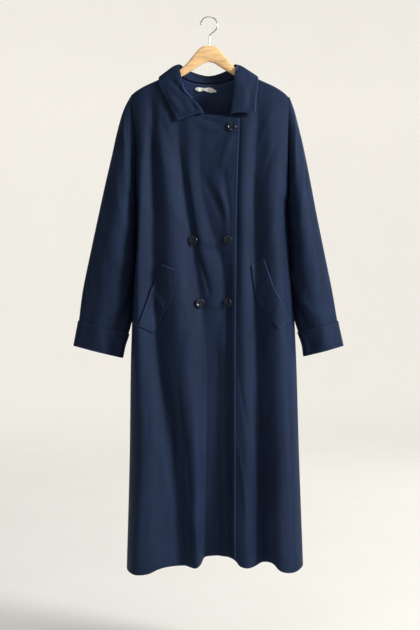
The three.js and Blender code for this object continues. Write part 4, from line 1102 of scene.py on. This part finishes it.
def sleeve_grid(rows, side, sides=108, rings=210):
    """Points round a sleeve.

    A ring leans between its outer and its inner side, with half depth times the sine of the turn, and
    swells and sinks at the long folds. Its inner side is slim and lies just behind the body's side.
    The first ring is the armhole. Rings between the table's are on
    smooth curves through them. Small creases are bells across lines on the unrolled sleeve.
    """
    turn = np.arange(sides) / sides
    angle = turn * 2 * np.pi
    share = (1 + np.cos(angle)) / 2
    fold = sum(out * np.exp(-((turn - at) / width) ** 2) for at, width, out in SLEEVE_FOLDS)
    table = []
    for ring, (out_x, out_z, in_x, in_z, deep) in enumerate(rows):
        if ring == 0:
            z = ARMHOLE["bottom"] + (ARMHOLE["top"] - ARMHOLE["bottom"]) * share
            x = body_at(z, side) + SLEEVE_SEAM[side]
            table.append(np.stack([x, -ARMHOLE["half_depth"] * np.sin(angle), z], axis=-1))
            continue
        grown = float(smoothstep(ring, 0, SLEEVE_GROWN))
        in_z = float(in_z)
        tucked = float(beside_sleeve(in_z) * (1 - smoothstep(-in_z, 725, 830)))
        past = body_at(in_z, side) + (1 if side == "right" else -1) * SLEEVE_TUCK["past_side"]
        in_x = in_x + (past - in_x) * tucked
        near = (1 - share) ** SLEEVE_TUCK["power"] * tucked
        bow = np.sign(np.sin(angle)) * np.abs(np.sin(angle)) ** (1 - SLEEVE_FLATNESS * grown)
        y = -(deep + fold * grown) * bow * (1 - SLEEVE_TUCK["slim"] * near)
        y = y + SLEEVE_BACK * grown + SLEEVE_TUCK["behind"] * near
        x = in_x + (out_x - in_x) * share
        z = in_z + (out_z - in_z) * share
        table.append(np.stack([x, y, z], axis=-1))
    table = np.array(table)
    at = np.linspace(0, SLEEVE_LAST, rings)
    ahead = np.concatenate([table[1:], table[-1:]])
    behind = np.concatenate([table[:1], table[:-1]])
    slope = (ahead - behind) / 2
    slope[0], slope[-1] = table[1] - table[0], table[-1] - table[-2]
    i = np.clip(at.astype(int), 0, len(table) - 2)
    t = (at - i)[:, None, None]
    blend = t * t * (3 - 2 * t)
    grid = table[i] + (table[i + 1] - table[i]) * blend
    grid = grid + t * (1 - t) ** 2 * slope[i] - t * t * (1 - t) * slope[i + 1]

    outward = normals_of(grid, wrap=True)
    inside = grid.mean(axis=1, keepdims=True)
    outward *= np.sign(((grid - inside) * outward).sum())
    height = np.zeros(grid.shape[:2])
    round_length, ring_length = 260.0, 68.0
    for r0, a0, r1, a1, width, out in SLEEVE_CREASES:
        dr, da = (r1 - r0) * ring_length, (a1 - a0) * round_length
        pr = (at[:, None] - r0) * ring_length
        pa = ((turn[None] - a0 + 0.5) % 1 - 0.5) * round_length
        s = np.clip((pr * dr + pa * da) / (dr * dr + da * da), 0, 1)
        away = np.hypot(pr - s * dr, pa - s * da)
        height += out * np.exp(-(away / width) ** 2) * np.sqrt(np.sin(np.pi * s))
    fade = smoothstep(at, 0.2, 1.2) * (1 - smoothstep(at, 9.3, 10.0))
    strength = bpy.context.scene.coat_settings.crease_strength
    return grid + outward * (height * fade[:, None] * strength)[..., None], at


def outward_of(grid):
    """Directions out of a tube."""
    outward = normals_of(grid, wrap=True)
    inside = grid.mean(axis=1, keepdims=True)
    return outward * np.sign(((grid - inside) * outward).sum())


class COAT_OT_sleeves(bpy.types.Operator):
    """Make both sleeves and their turned-up cuffs"""

    bl_idname = "coat.make_sleeves"
    bl_label = "Sleeves and cuffs"

    def execute(self, context):
        settings = context.scene.coat_settings
        cloth, doubled = settings.cloth * 1000, settings.doubled_cloth * 1000
        inset = settings.stitch_inset * 1000
        for side, rows in (("right", RIGHT_SLEEVE), ("left", LEFT_SLEEVE)):
            grid, at = sleeve_grid(rows, side)
            outward = outward_of(grid)
            inner = grid - outward * cloth
            inner[0, :, 0] = grid[0, :, 0]
            piece = cloth_piece(f"sleeve_{side}_cloth", grid, inner, wrap=True, rims=(0, 0.3, 0, 0))
            replace_node(piece, f"sleeve_{side}")

            covered = at >= CUFF_START - 1e-6
            base, base_out = grid[covered], outward[covered]
            share = np.linspace(0, 1, len(base))[:, None, None]
            stand = LAID_ON + 0.2 * (1 - share) ** 2
            inside = base + base_out * stand
            outside = base + base_out * (stand + doubled * CUFF_SHARE)
            up_gap = reach_of(outside, 0)
            down_gap = up_gap[-1][None] - up_gap
            stitch_gap = np.minimum(gap_to(up_gap, inset), gap_to(down_gap, inset))
            piece = cloth_piece(f"cuff_{side}_cloth", outside, inside, wrap=True, rims=(0.4, 0.4, 0, 0),
                                stitch_gap=stitch_gap, edge_gap=np.minimum(up_gap, down_gap))
            replace_node(piece, f"cuff_{side}")
            lines = outside.transpose(1, 0, 2)
            out_lines = base_out.transpose(1, 0, 2)
            closed = np.append(np.arange(len(lines)), 0)
            upper = inset_line(lines[closed], out_lines[closed], inset)
            lower = inset_line(lines[closed, ::-1], out_lines[closed, ::-1], inset)
            stitches = stitching(f"cuff_{side}_stitches", [upper, lower])
        return {"FINISHED"}


def table_curve(rows, at):
    return np.stack([smooth_read(rows[:, 0], rows[:, k], at) for k in (1, 2, 3)], axis=-1)


def spline_points(controls, share):
    """Points at shares of the way along curves through control points, one curve for each line.

    Each piece of a curve is a cubic whose slopes come from its neighbours, spaced by the square root of
    the distance between control points.
    """
    first = 2 * controls[:, 0] - controls[:, 1]
    last = 2 * controls[:, -1] - controls[:, -2]
    points = np.concatenate([first[:, None], controls, last[:, None]], axis=1)
    pieces = controls.shape[1] - 1
    place = np.clip(np.asarray(share) * pieces, 0, pieces)
    k = np.minimum(place.astype(int), pieces - 1)
    w = (place - k)[None, :, None]
    p0, p1, p2, p3 = (points[:, k + i] for i in range(4))

    def spacing(a, b):
        return np.maximum(np.sqrt(np.linalg.norm(b - a, axis=-1, keepdims=True)), 1e-4)

    d0, d1, d2 = spacing(p0, p1), spacing(p1, p2), spacing(p2, p3)
    start = ((p1 - p0) / d0 - (p2 - p0) / (d0 + d1) + (p2 - p1) / d1) * d1
    end = ((p2 - p1) / d1 - (p3 - p1) / (d1 + d2) + (p3 - p2) / d2) * d1
    square = -3 * p1 + 3 * p2 - 2 * start - end
    cube = 2 * p1 - 2 * p2 + start + end
    return p1 + start * w + square * w ** 2 + cube * w ** 3


def clear_of_body(point):
    """Keeps the collar's turned-down part off the coat: above the shoulder's round, or outside the face."""
    sign = np.where(point[..., 1] < 0, -1.0, 1.0)
    away = np.minimum(np.abs(point[..., 1]) / SHOULDER_ROUND, NEAR_CREST)
    above = shoulder_at(point[..., 0]) + SHOULDER_CURVE * np.log(1 - away) + COLLAR_LIFT
    front = np.abs(surface_y("front", point[..., 0], point[..., 2], creased=False))
    back = np.abs(surface_y("back", point[..., 0], point[..., 2], creased=False))
    outside = np.where(sign < 0, front, back) + COLLAR_LIFT
    low = (point[..., 2] < above) & (np.abs(point[..., 1]) < outside)
    near = away < NEAR_CREST
    point[..., 2] = np.where(low & near, above, point[..., 2])
    point[..., 1] = np.where(low & ~near, sign * outside, point[..., 1])
    return point


def seam_of_neck(at):
    """Points of the neckline's seam by place round the neck: 0 to 1 right front, to 3 back, to 4 left."""
    right_turn, left_turn = np.clip(1 - at, 0, 1), np.clip(at - 3, 0, 1)
    x_right = RIGHT_COLLAR_END + (-NECK_HALF - RIGHT_COLLAR_END) * np.cos(right_turn * np.pi / 2)
    x_left = LEFT_COLLAR_END + (NECK_HALF - LEFT_COLLAR_END) * np.cos(left_turn * np.pi / 2)
    x_back = (at - 2) * NECK_HALF
    x = np.where(at < 1, x_right, np.where(at > 3, x_left, x_back))
    z_front = NECK_TOP - FRONT_NECK_DROP * np.sin(np.where(at < 1, right_turn, left_turn) * np.pi / 2)
    z_back = NECK_TOP - BACK_NECK_DROP * np.sqrt(np.maximum(0, 1 - (x_back / NECK_HALF) ** 2))
    behind = (at >= 1) & (at <= 3)
    z = np.where(behind, z_back, z_front)
    y_front = surface_y("front", x, z, creased=False)
    y_left = y_front + underlap_inset(x, z)
    y = np.where(behind, surface_y("back", x, z, creased=False), np.where(at > 3, y_left, y_front))
    return np.stack([x, y, z], axis=-1)


def collar_grid():
    """Ribs of the collar: up the stand from the neck seam, over the crease and down to the outer edge,
    bulging away from the neck."""
    at = np.concatenate([
        np.linspace(0, 1, 56)[:-1] ** 0.9, np.linspace(1, 3, 78)[:-1], 4 - np.linspace(1, 0, 56) ** 0.9])
    seam = seam_of_neck(at)
    crease = table_curve(COLLAR_CREASE, at)
    edge = table_curve(COLLAR_EDGE, at)
    foot = seam + unit(crease - seam) * COLLAR_FOOT
    end = np.minimum(at, 4 - at)
    outward = edge - crease
    outward[:, 2] = 0
    outward = unit(outward)
    facing = np.where((at < 1) | (at > 3), -1.0, 1.0)
    straight = np.stack([np.zeros_like(at), facing, np.zeros_like(at)], axis=-1)
    mix = (0.5 * (1 - smoothstep(end, 0.6, 1)))[:, None]
    outward = outward * (1 - mix) + straight * mix
    outward[:, 2] += COLLAR_BULGE["lift"]
    outward = unit(outward)

    def bulge(share, out):
        return crease + (edge - crease) * share + outward * out

    controls = np.stack([foot, foot + (crease - foot) * COLLAR_BULGE["stand"], crease,
                         bulge(*COLLAR_BULGE["top"]), bulge(*COLLAR_BULGE["fall"]), edge], axis=1)
    share = np.linspace(0, 1, 72)
    grid = spline_points(controls, share)
    lying = share > COLLAR_BULGE["lying"]
    grid[:, lying] = clear_of_body(grid[:, lying].copy())
    return grid


class COAT_OT_collar(bpy.types.Operator):
    """Make the stand and turned-down part of the collar"""

    bl_idname = "coat.make_collar"
    bl_label = "Collar"

    def execute(self, context):
        settings = context.scene.coat_settings
        inset = settings.stitch_inset * 1000
        grid = collar_grid()
        outward = normals_of(grid)
        middle = outward[len(outward) // 2, -8]
        outward = outward * (1.0 if middle[1] > 0 else -1.0)
        share = np.linspace(0, 1, grid.shape[1])
        leaf = smoothstep(-grid[..., 1], 14, 26) * smoothstep(share, 0.18, 0.36)[None]
        height = crease_height(COLLAR_CREASES, grid[..., 0], grid[..., 2]) * leaf * settings.crease_strength
        grid = grid + outward * height[..., None]
        outward = normals_of(grid) * np.sign((normals_of(grid) * outward).sum())
        inner = grid - outward * settings.doubled_cloth * 1000
        reach = reach_of(grid, 1)
        to_edge = reach[:, -1:] - reach
        along = reach_of(grid, 0)
        to_end = np.minimum(along, along[-1][None] - along)
        turned = np.where(np.linspace(0, 1, grid.shape[1])[None] > 0.4, to_end, 100.0)
        nearest = np.minimum(to_edge, turned)
        piece = cloth_piece("collar_cloth", grid, inner, rims=(0.4, 0.4, 0, 0.4),
                            stitch_gap=gap_to(nearest, inset), edge_gap=nearest)
        replace_node(piece, "collar")
        outer_path = inset_line(grid[:, ::-1], outward[:, ::-1], inset)
        lines, out_lines = grid.transpose(1, 0, 2), outward.transpose(1, 0, 2)
        first = inset_line(lines[30:-5], out_lines[30:-5], inset)
        last = inset_line(lines[30:-5, ::-1], out_lines[30:-5, ::-1], inset)
        keep = slice(9, -9)
        stitches = stitching("collar_stitches", [tuple(p[keep] for p in outer_path), first, last])
        return {"FINISHED"}


def flap_grid(rows, along=72, across=36):
    """A flap moved out of the front's surface, with its opening edge standing off a little in a low arch.

    Its edges are straight between the table's rows, and each bend is rounded by a running mean.
    """
    at = np.linspace(0, 1, along)
    near = np.linspace(-0.03, 0.03, 7)[:, None]
    beside = np.clip(at + near * smoothstep(0.5 - np.abs(at - 0.5), 0, 0.05), 0, 1)
    edges = [np.interp(beside, rows[:, 0], rows[:, k]).mean(axis=0) for k in (1, 2, 3, 4)]
    open_x, open_z, sewn_x, sewn_z = edges
    share = np.linspace(0, 1, across)[None]
    x = open_x[:, None] + (sewn_x - open_x)[:, None] * share
    z = open_z[:, None] + (sewn_z - open_z)[:, None] * share
    y = surface_y("front", x, z)
    arch = np.sin(np.pi * at)[:, None] * (1 - share) ** 2
    strength = bpy.context.scene.coat_settings.crease_strength
    crease = crease_height(FLAP_CREASES, x, z) * strength * smoothstep(1 - share, 0, 0.3)
    return np.stack([x, y - 1.6 * arch - crease, z], axis=-1)


class COAT_OT_flaps(bpy.types.Operator):
    """Make both slanted pocket flaps"""

    bl_idname = "coat.make_flaps"
    bl_label = "Pocket flaps"

    def execute(self, context):
        settings = context.scene.coat_settings
        inset, doubled = settings.stitch_inset * 1000, settings.doubled_cloth * 1000
        for side, rows in (("right", RIGHT_FLAP), ("left", LEFT_FLAP)):
            base = flap_grid(rows)
            outward = normals_of(base)
            outward = outward * -np.sign(outward[..., 1].mean())
            inside = base + outward * FLAP_LIFT
            outside = base + outward * (FLAP_LIFT + doubled)
            along, across = reach_of(outside, 0), reach_of(outside, 1)
            to_end = np.minimum(along, along[-1][None] - along)
            nearest = np.minimum(to_end, across)
            piece = cloth_piece(f"pocket_flap_{side}_cloth", outside, inside,
                                stitch_gap=gap_to(nearest, inset), edge_gap=nearest)
            replace_node(piece, f"pocket_flap_{side}")
            lines, out_lines = outside.transpose(1, 0, 2), outward.transpose(1, 0, 2)
            opening = inset_line(outside, outward, inset)
            upper = inset_line(lines, out_lines, inset)
            lower = inset_line(lines[:, ::-1], out_lines[:, ::-1], inset)
            stitches = stitching(f"pocket_flap_{side}_stitches", [
                tuple(p[4:-4] for p in opening), tuple(p[5:-2] for p in upper),
                tuple(p[5:-2] for p in lower)])
        return {"FINISHED"}


# Half section of a button: distance from its middle, height above the cloth
BUTTON_PROFILE = np.array([
    (0, 0), (8.5, 0), (10.2, 0.35), (11.2, 1.1), (11.5, 2.0), (11.3, 2.9), (10.7, 3.6), (9.9, 3.95),
    (9.2, 4.0), (8.6, 3.85), (7.9, 3.5), (7.1, 3.05), (6.2, 2.6), (5.4, 2.32), (4.5, 2.2), (0, 2.2),
], float)
BUTTON_HOLE = {"radius": 1.0, "spread": 2.1}


def lathe(profile, sides):
    """A profile turned round the Z axis, with both poles closed by one point each."""
    angle = np.arange(sides) / sides * 2 * np.pi
    ring = profile[1:-1]
    body = np.stack([ring[:, :1] * np.cos(angle), ring[:, :1] * np.sin(angle),
                     np.repeat(ring[:, 1:], sides, axis=1)], axis=-1).reshape(-1, 3)
    count = len(body)
    points = np.concatenate([body, [(0, 0, profile[0, 1])], [(0, 0, profile[-1, 1])]])
    quads = [tuple(face) for face in grid_faces(len(ring), sides, wrap=True)[:, ::-1]]
    here = np.arange(sides)
    on = (here + 1) % sides
    last = count - sides
    bottom = [(count, int(b), int(a)) for a, b in zip(here, on)]
    top = [(count + 1, int(a), int(b)) for a, b in zip(here + last, on + last)]
    return points, quads + bottom + top


def button_shape(sides):
    """One button with its four holes cut through, as points and faces."""
    points, faces = lathe(BUTTON_PROFILE, sides)
    disc = bpy.data.meshes.new("button_disc")
    disc.from_pydata(points * MM, [], faces)
    drill_points, drill_faces = [], []
    profile = np.array([(0, -2), (1, -2), (1, 6), (0, 6)], float)
    profile[1:3, 0] = BUTTON_HOLE["radius"]
    for count, (dx, dy) in enumerate([(1, 1), (-1, 1), (-1, -1), (1, -1)]):
        hole, hole_faces = lathe(profile, 20)
        drill_points.append(hole + np.array([dx, dy, 0]) * BUTTON_HOLE["spread"])
        drill_faces += [tuple(k + count * len(hole) for k in face) for face in hole_faces]
    drill = bpy.data.meshes.new("button_drill")
    drill.from_pydata(np.concatenate(drill_points) * MM, [], drill_faces)
    blank = bpy.data.objects.new("button_blank", disc)
    cutter = bpy.data.objects.new("button_cutter", drill)
    for thing in (blank, cutter):
        bpy.context.scene.collection.objects.link(thing)
    cut = blank.modifiers.new("holes", "BOOLEAN")
    cut.operation = "DIFFERENCE"
    cut.solver = "EXACT"
    cut.object = cutter
    graph = bpy.context.evaluated_depsgraph_get()
    made = bpy.data.meshes.new_from_object(blank.evaluated_get(graph))
    for thing in (blank, cutter):
        bpy.data.objects.remove(thing)
    return made


def button_place(x, z):
    """Where a button sits: its middle on the cloth, raised so that its rim clears the folds beneath it."""
    step = 6.0
    px = x + np.array([0, step, -step, 0, 0])
    pz = z + np.array([0, 0, 0, step, -step])
    y = surface_y("front", px, pz)
    out = unit(np.array([(y[1] - y[2]) / (2 * step), -1, (y[3] - y[4]) / (2 * step)]))
    angle = np.arange(12) / 12 * 2 * np.pi
    rim_x, rim_z = x + BUTTON_RADIUS * np.cos(angle), z + BUTTON_RADIUS * np.sin(angle)
    centre = np.array([x, y[0], z])
    rim = np.stack([rim_x, surface_y("front", rim_x, rim_z), rim_z], axis=-1)
    rise = max(((rim - centre) @ out).max(), 0)
    return centre + out * (rise + BUTTON_LIFT), out


class COAT_OT_buttons(bpy.types.Operator):
    """Make the sewn-on buttons and the thread through their holes"""

    bl_idname = "coat.make_buttons"
    bl_label = "Buttons"

    def execute(self, context):
        shape = button_shape(context.scene.coat_settings.button_sides)
        points = np.empty(len(shape.vertices) * 3)
        shape.vertices.foreach_get("co", points)
        points = points.reshape(-1, 3) / MM
        faces = [tuple(polygon.vertices) for polygon in shape.polygons]
        bpy.data.meshes.remove(shape)
        for node, (x, z) in BUTTONS.items():
            centre, out = button_place(x, z)
            side = unit(np.cross(out, [0, 0, 1]))
            up = np.cross(side, out)
            turn = np.stack([side, up, out])
            mesh = bpy.data.meshes.new(f"{node}_resin")
            mesh.from_pydata((points @ turn + centre) * MM, [], faces)
            mesh.materials.append(button_material())
            mesh.shade_smooth()
            piece = bpy.data.objects.new(f"{node}_resin", mesh)
            context.scene.collection.objects.link(piece)
            replace_node(piece, node)
            self.sew(node, centre, side, up, out)
        return {"FINISHED"}

    def sew(self, node, centre, side, up, out):
        """Two bundles of thread from hole to hole: an arc over the button's floor, down into each hole."""
        spread = BUTTON_HOLE["spread"]
        t = np.linspace(-1, 1, 15)
        lift = 2.75 - 2.2 * np.clip(np.abs(t) - 0.8, 0, 1) / 0.2
        strands = []
        for row in (-1, 1):
            for shift in (-0.32, 0.32):
                path = (side * (t * spread * 1.06)[:, None] + up * (row * spread + shift)
                        + out * lift[:, None])
                strands.append(centre + path)
        points, faces, start = [], [], 0
        ring = np.arange(6) / 6 * 2 * np.pi
        for path in strands:
            along = unit(np.gradient(path, axis=0))
            across = unit(np.cross(along, np.broadcast_to(up, along.shape)))
            tube = (path[:, None] + across[:, None] * (0.34 * np.cos(ring))[None, :, None]
                    + up[None, None] * (0.34 * np.sin(ring))[None, :, None])
            points.append(tube.reshape(-1, 3))
            faces += [tuple(face) for face in grid_faces(len(t), 6, wrap=True) + start]
            faces.append(tuple(start + k for k in range(6)))
            faces.append(tuple(start + (len(t) - 1) * 6 + k for k in range(5, -1, -1)))
            start += len(t) * 6
        mesh = bpy.data.meshes.new(f"{node}_thread")
        mesh.from_pydata(np.concatenate(points) * MM, [], faces)
        mesh.materials.append(thread_material())
        mesh.shade_smooth()
        thread = bpy.data.objects.new(f"{node}_thread", mesh)
        bpy.context.scene.collection.objects.link(thread)
        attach(thread, BODY_NAME)


class COAT_OT_hanger(bpy.types.Operator):
    """Make the wooden hanger and its wire hook"""

    bl_idname = "coat.make_hanger"
    bl_label = "Hanger and hook"

    def execute(self, context):
        self.wood()
        self.wire()
        return {"FINISHED"}

    def wood(self):
        """Rounded sections along the arms: squared-off ellipses between the wood's top and underside,
        slimmer at the tips."""
        steps, sides = 150, 40
        across = np.linspace(-1, 1, steps + 1)
        x = np.sign(across) * WOOD_END * np.abs(across) ** WOOD_SPREAD
        top = smooth_read(WOOD[:, 0], WOOD[:, 1], np.abs(x))
        under = smooth_read(WOOD[:, 0], WOOD[:, 2], np.abs(x))
        slim = 1 - (1 - WOOD_TIP["slim"]) * smoothstep(np.abs(x), WOOD_END - WOOD_TIP["length"], WOOD_END)
        angle = np.arange(sides) / sides * 2 * np.pi
        tall = np.sign(np.sin(angle)) * np.abs(np.sin(angle)) ** WOOD_SQUARENESS
        wide = np.sign(np.cos(angle)) * np.abs(np.cos(angle)) ** WOOD_SQUARENESS
        z = ((top + under) / 2)[:, None] + ((top - under) / 2 * slim)[:, None] * tall[None]
        y = (WOOD_THICK / 2 * slim)[:, None] * wide[None]
        grid = np.stack([np.broadcast_to(x[:, None], z.shape), y, z], axis=-1)
        caps = [grid[:1].mean(axis=1) - [[0.8, 0, 0]], grid[-1:].mean(axis=1) + [[0.8, 0, 0]]]
        points = np.concatenate([grid.reshape(-1, 3)] + caps)
        count = (steps + 1) * sides
        here = np.arange(sides)
        on = (here + 1) % sides
        faces = [tuple(face) for face in grid_faces(steps + 1, sides, wrap=True)]
        faces += [(count, int(b), int(a)) for a, b in zip(here, on)]
        last = count - sides
        faces += [(count + 1, int(a), int(b)) for a, b in zip(here + last, on + last)]
        mesh = bpy.data.meshes.new("hanger_wood")
        mesh.from_pydata(points * MM, [], faces)
        mesh.materials.append(wood_material())
        mesh.shade_smooth()
        piece = bpy.data.objects.new("hanger_wood", mesh)
        bpy.context.scene.collection.objects.link(piece)
        replace_node(piece, "hanger")

    def wire(self):
        """Wire of the hook: a long arc from its ball end, a bend back to the middle and a straight stem,
        as rings square to the path, whose size swells to the ball at the tip."""
        angle = np.radians(np.linspace(HOOK["tip"], HOOK["leave"], 19))
        centre = HOOK["wire"] - HOOK["radius"]
        arc = np.stack([HOOK["radius"] * np.cos(angle), np.zeros(19),
                        centre + HOOK["radius"] * np.sin(angle)], axis=-1)
        end = arc[-1]
        bend = [(end[0] + (HOOK["stem"] - end[0]) * share, 0, end[2] - below) for share, below in HOOK_BEND]
        controls = np.concatenate([arc, bend, [(HOOK["stem"], 0, -HOOK["depth"])]])
        path = spline_points(controls[None], np.linspace(0, 1, 260))[0]
        along = unit(np.gradient(path, axis=0))
        ahead = along[0]
        tip = path[0] - ahead * HOOK["ball"] * np.cos(np.linspace(0.02, np.pi / 2, 10))[:, None]
        path = np.concatenate([tip[:-1], path])
        along = np.concatenate([np.repeat(ahead[None], 9, axis=0), along])
        from_tip = np.concatenate([[0], np.cumsum(np.linalg.norm(np.diff(path, axis=0), axis=1))])
        from_ball = from_tip - HOOK["ball"]
        ball = np.sqrt(np.maximum(0, HOOK["ball"] ** 2 - from_ball ** 2))
        radius = np.where(from_ball < 0, ball, np.maximum(ball, HOOK["wire"]))
        side = np.array([0.0, 1.0, 0.0])
        up = unit(np.cross(along, side))
        turn = np.arange(24) / 24 * 2 * np.pi
        grid = (path[:, None] + up[:, None] * (radius[:, None] * np.cos(turn))[..., None]
                + side * (radius[:, None] * np.sin(turn))[..., None])
        faces = [tuple(face) for face in grid_faces(len(grid), 24, wrap=True)]
        last = (len(grid) - 1) * 24
        faces.append(tuple(range(23, -1, -1)))
        faces.append(tuple(last + k for k in range(24)))
        mesh = bpy.data.meshes.new("hook_wire")
        mesh.from_pydata(grid.reshape(-1, 3) * MM, [], faces)
        mesh.materials.append(steel_material())
        mesh.shade_smooth()
        piece = bpy.data.objects.new("hook_wire", mesh)
        bpy.context.scene.collection.objects.link(piece)
        replace_node(piece, "hook")


class COAT_OT_label(bpy.types.Operator):
    """Make the bare tape inside the neck"""

    bl_idname = "coat.make_label"
    bl_label = "Neck label"

    def execute(self, context):
        share = np.linspace(0, 1, 48)[:, None]
        down = np.linspace(0, 1, 14)[None]
        x = LABEL["right"] + (LABEL["left"] - LABEL["right"]) * share + 0 * down
        edges = [np.interp(share, LABEL_EDGES[:, 0], LABEL_EDGES[:, k]) for k in (1, 2)]
        z = edges[0] + (edges[1] - edges[0]) * down
        inside = surface_y("back", x, z, creased=False) - 2.0 - LAID_ON
        y = inside - LABEL["thick"] - 3.0 * np.sin(3 * np.pi * share) ** 2 * down
        front = np.stack([x, y, z], axis=-1)
        behind = np.stack([x, y + LABEL["thick"], z], axis=-1)
        points, faces, _ = shell_mesh(front, behind, rims=(0.3, 0.3, 0.3, 0.3))
        piece = new_object("neck_label_tape", points, faces, tape_material())
        replace_node(piece, "neck_label")
        return {"FINISHED"}


class COAT_OT_stage(bpy.types.Operator):
    """Make the pale floor that curves up all round, the soft lights and the camera"""

    bl_idname = "coat.make_stage"
    bl_label = "Stage"

    def execute(self, context):
        scene = context.scene
        scene.view_settings.view_transform = "Standard"
        self.floor()
        self.light("key", (2.9, -1.5, 0.75), (0.0, 0.0, -0.75), 1.1, 190)
        self.light("fill", (-2.2, -3.0, 0.2), (0.0, 0.0, -0.8), 2.2, 2)
        self.light("top", (0.2, -0.6, 2.4), (0.0, 0.0, -0.6), 1.4, 14)
        self.light("rear", (2.0, 3.0, 1.0), (0.0, 0.0, -0.8), 1.6, 40)
        world = bpy.data.worlds.new("studio")
        world.use_nodes = True
        background = world.node_tree.nodes["Background"]
        background.inputs["Color"].default_value = (0.72, 0.84, 1.0, 1)
        background.inputs["Strength"].default_value = 0.15
        scene.world = world
        data = bpy.data.cameras.new("camera")
        data.sensor_width = 36
        data.lens = 59.43
        data.dof.use_dof = False
        camera = bpy.data.objects.new("camera", data)
        camera.location = (0.0025, -2.6, -0.74375)
        camera.rotation_euler = (math.radians(90), 0, 0)
        scene.collection.objects.link(camera)
        scene.camera = camera
        return {"FINISHED"}

    def floor(self):
        """A flat disc under the coat whose rim curves up as a quarter of a circle into a round wall. Its
        paper glows a little, more behind the coat than in front of it."""
        flat, curve, height, wall = 5.0, 3.0, -1.62, 4.0
        bend = np.linspace(0, np.pi / 2, 20)
        radius = np.concatenate([np.linspace(0.001, flat, 12), flat + curve * np.sin(bend[1:]), [flat + curve]])
        rise = np.concatenate([np.zeros(12), curve * (1 - np.cos(bend[1:])), [curve + wall]])
        turn = np.arange(96) / 96 * 2 * np.pi
        grid = np.stack([radius[:, None] * np.cos(turn), radius[:, None] * np.sin(turn),
                         height + rise[:, None] + 0 * turn], axis=-1)
        mesh = bpy.data.meshes.new("floor")
        faces = [tuple(face) for face in grid_faces(len(grid), 96, wrap=True)]
        mesh.from_pydata(grid.reshape(-1, 3), [], faces + [tuple(range(95, -1, -1))])
        material = new_material("cream_paper")
        place = add_node(material, "ShaderNodeTexCoord").outputs["Object"]
        mottle = add_node(material, "ShaderNodeTexNoise", Scale=3.0, Detail=3.0)
        join(material, (place, mottle.inputs["Vector"]))
        tone = ramp(material, mottle.outputs["Fac"], [(0.3, (0.52, 0.505, 0.47)), (0.7, (0.54, 0.525, 0.49))])
        shader = shaded(material, Roughness=0.9, Specular_IOR_Level=0.1,
                        Emission_Color=(0.95, 0.92, 0.86, 1))
        apart = add_node(material, "ShaderNodeSeparateXYZ")
        glow = add_node(material, "ShaderNodeMapRange")
        for key, value in (("From Min", -3.0), ("From Max", 6.0), ("To Min", 0.13), ("To Max", 0.60)):
            glow.inputs[key].default_value = value
        join(material, (tone, shader.inputs["Base Color"]), (place, apart.inputs["Vector"]),
             (apart.outputs["Y"], glow.inputs["Value"]),
             (glow.outputs["Result"], shader.inputs["Emission Strength"]))
        mesh.materials.append(material)
        mesh.shade_smooth()
        floor = bpy.data.objects.new("floor", mesh)
        bpy.context.scene.collection.objects.link(floor)

    def light(self, name, place, target, size, power):
        data = bpy.data.lights.new(name, "AREA")
        data.shape = "DISK"
        data.size = size
        data.energy = power
        lamp = bpy.data.objects.new(name, data)
        lamp.location = place
        lamp.rotation_euler = (Vector(target) - Vector(place)).to_track_quat("-Z", "Y").to_euler()
        bpy.context.scene.collection.objects.link(lamp)


class COAT_PT_panel(bpy.types.Panel):
    bl_label = "Trench coat"
    bl_idname = "COAT_PT_panel"
    bl_space_type = "VIEW_3D"
    bl_region_type = "UI"
    bl_category = "Coat"

    def draw(self, context):
        settings = context.scene.coat_settings
        column = self.layout.column()
        for name in CoatSettings.__annotations__:
            column.prop(settings, name)
        for operator in OPERATORS:
            column.operator(operator.bl_idname)


OPERATORS = (
    COAT_OT_hanger, COAT_OT_back, COAT_OT_fronts, COAT_OT_sleeves, COAT_OT_collar, COAT_OT_flaps,
    COAT_OT_buttons, COAT_OT_label, COAT_OT_stage,
)
CLASSES = (CoatSettings, *OPERATORS, COAT_PT_panel)


def register():
    for cls in CLASSES:
        bpy.utils.register_class(cls)
    bpy.types.Scene.coat_settings = PointerProperty(type=CoatSettings)


def unregister():
    del bpy.types.Scene.coat_settings
    for cls in reversed(CLASSES):
        bpy.utils.unregister_class(cls)


def main():
    register()
    for operator in OPERATORS:
        group, name = operator.bl_idname.split(".")
        getattr(getattr(bpy.ops, group), name)()


if __name__ == "__main__":
    main()
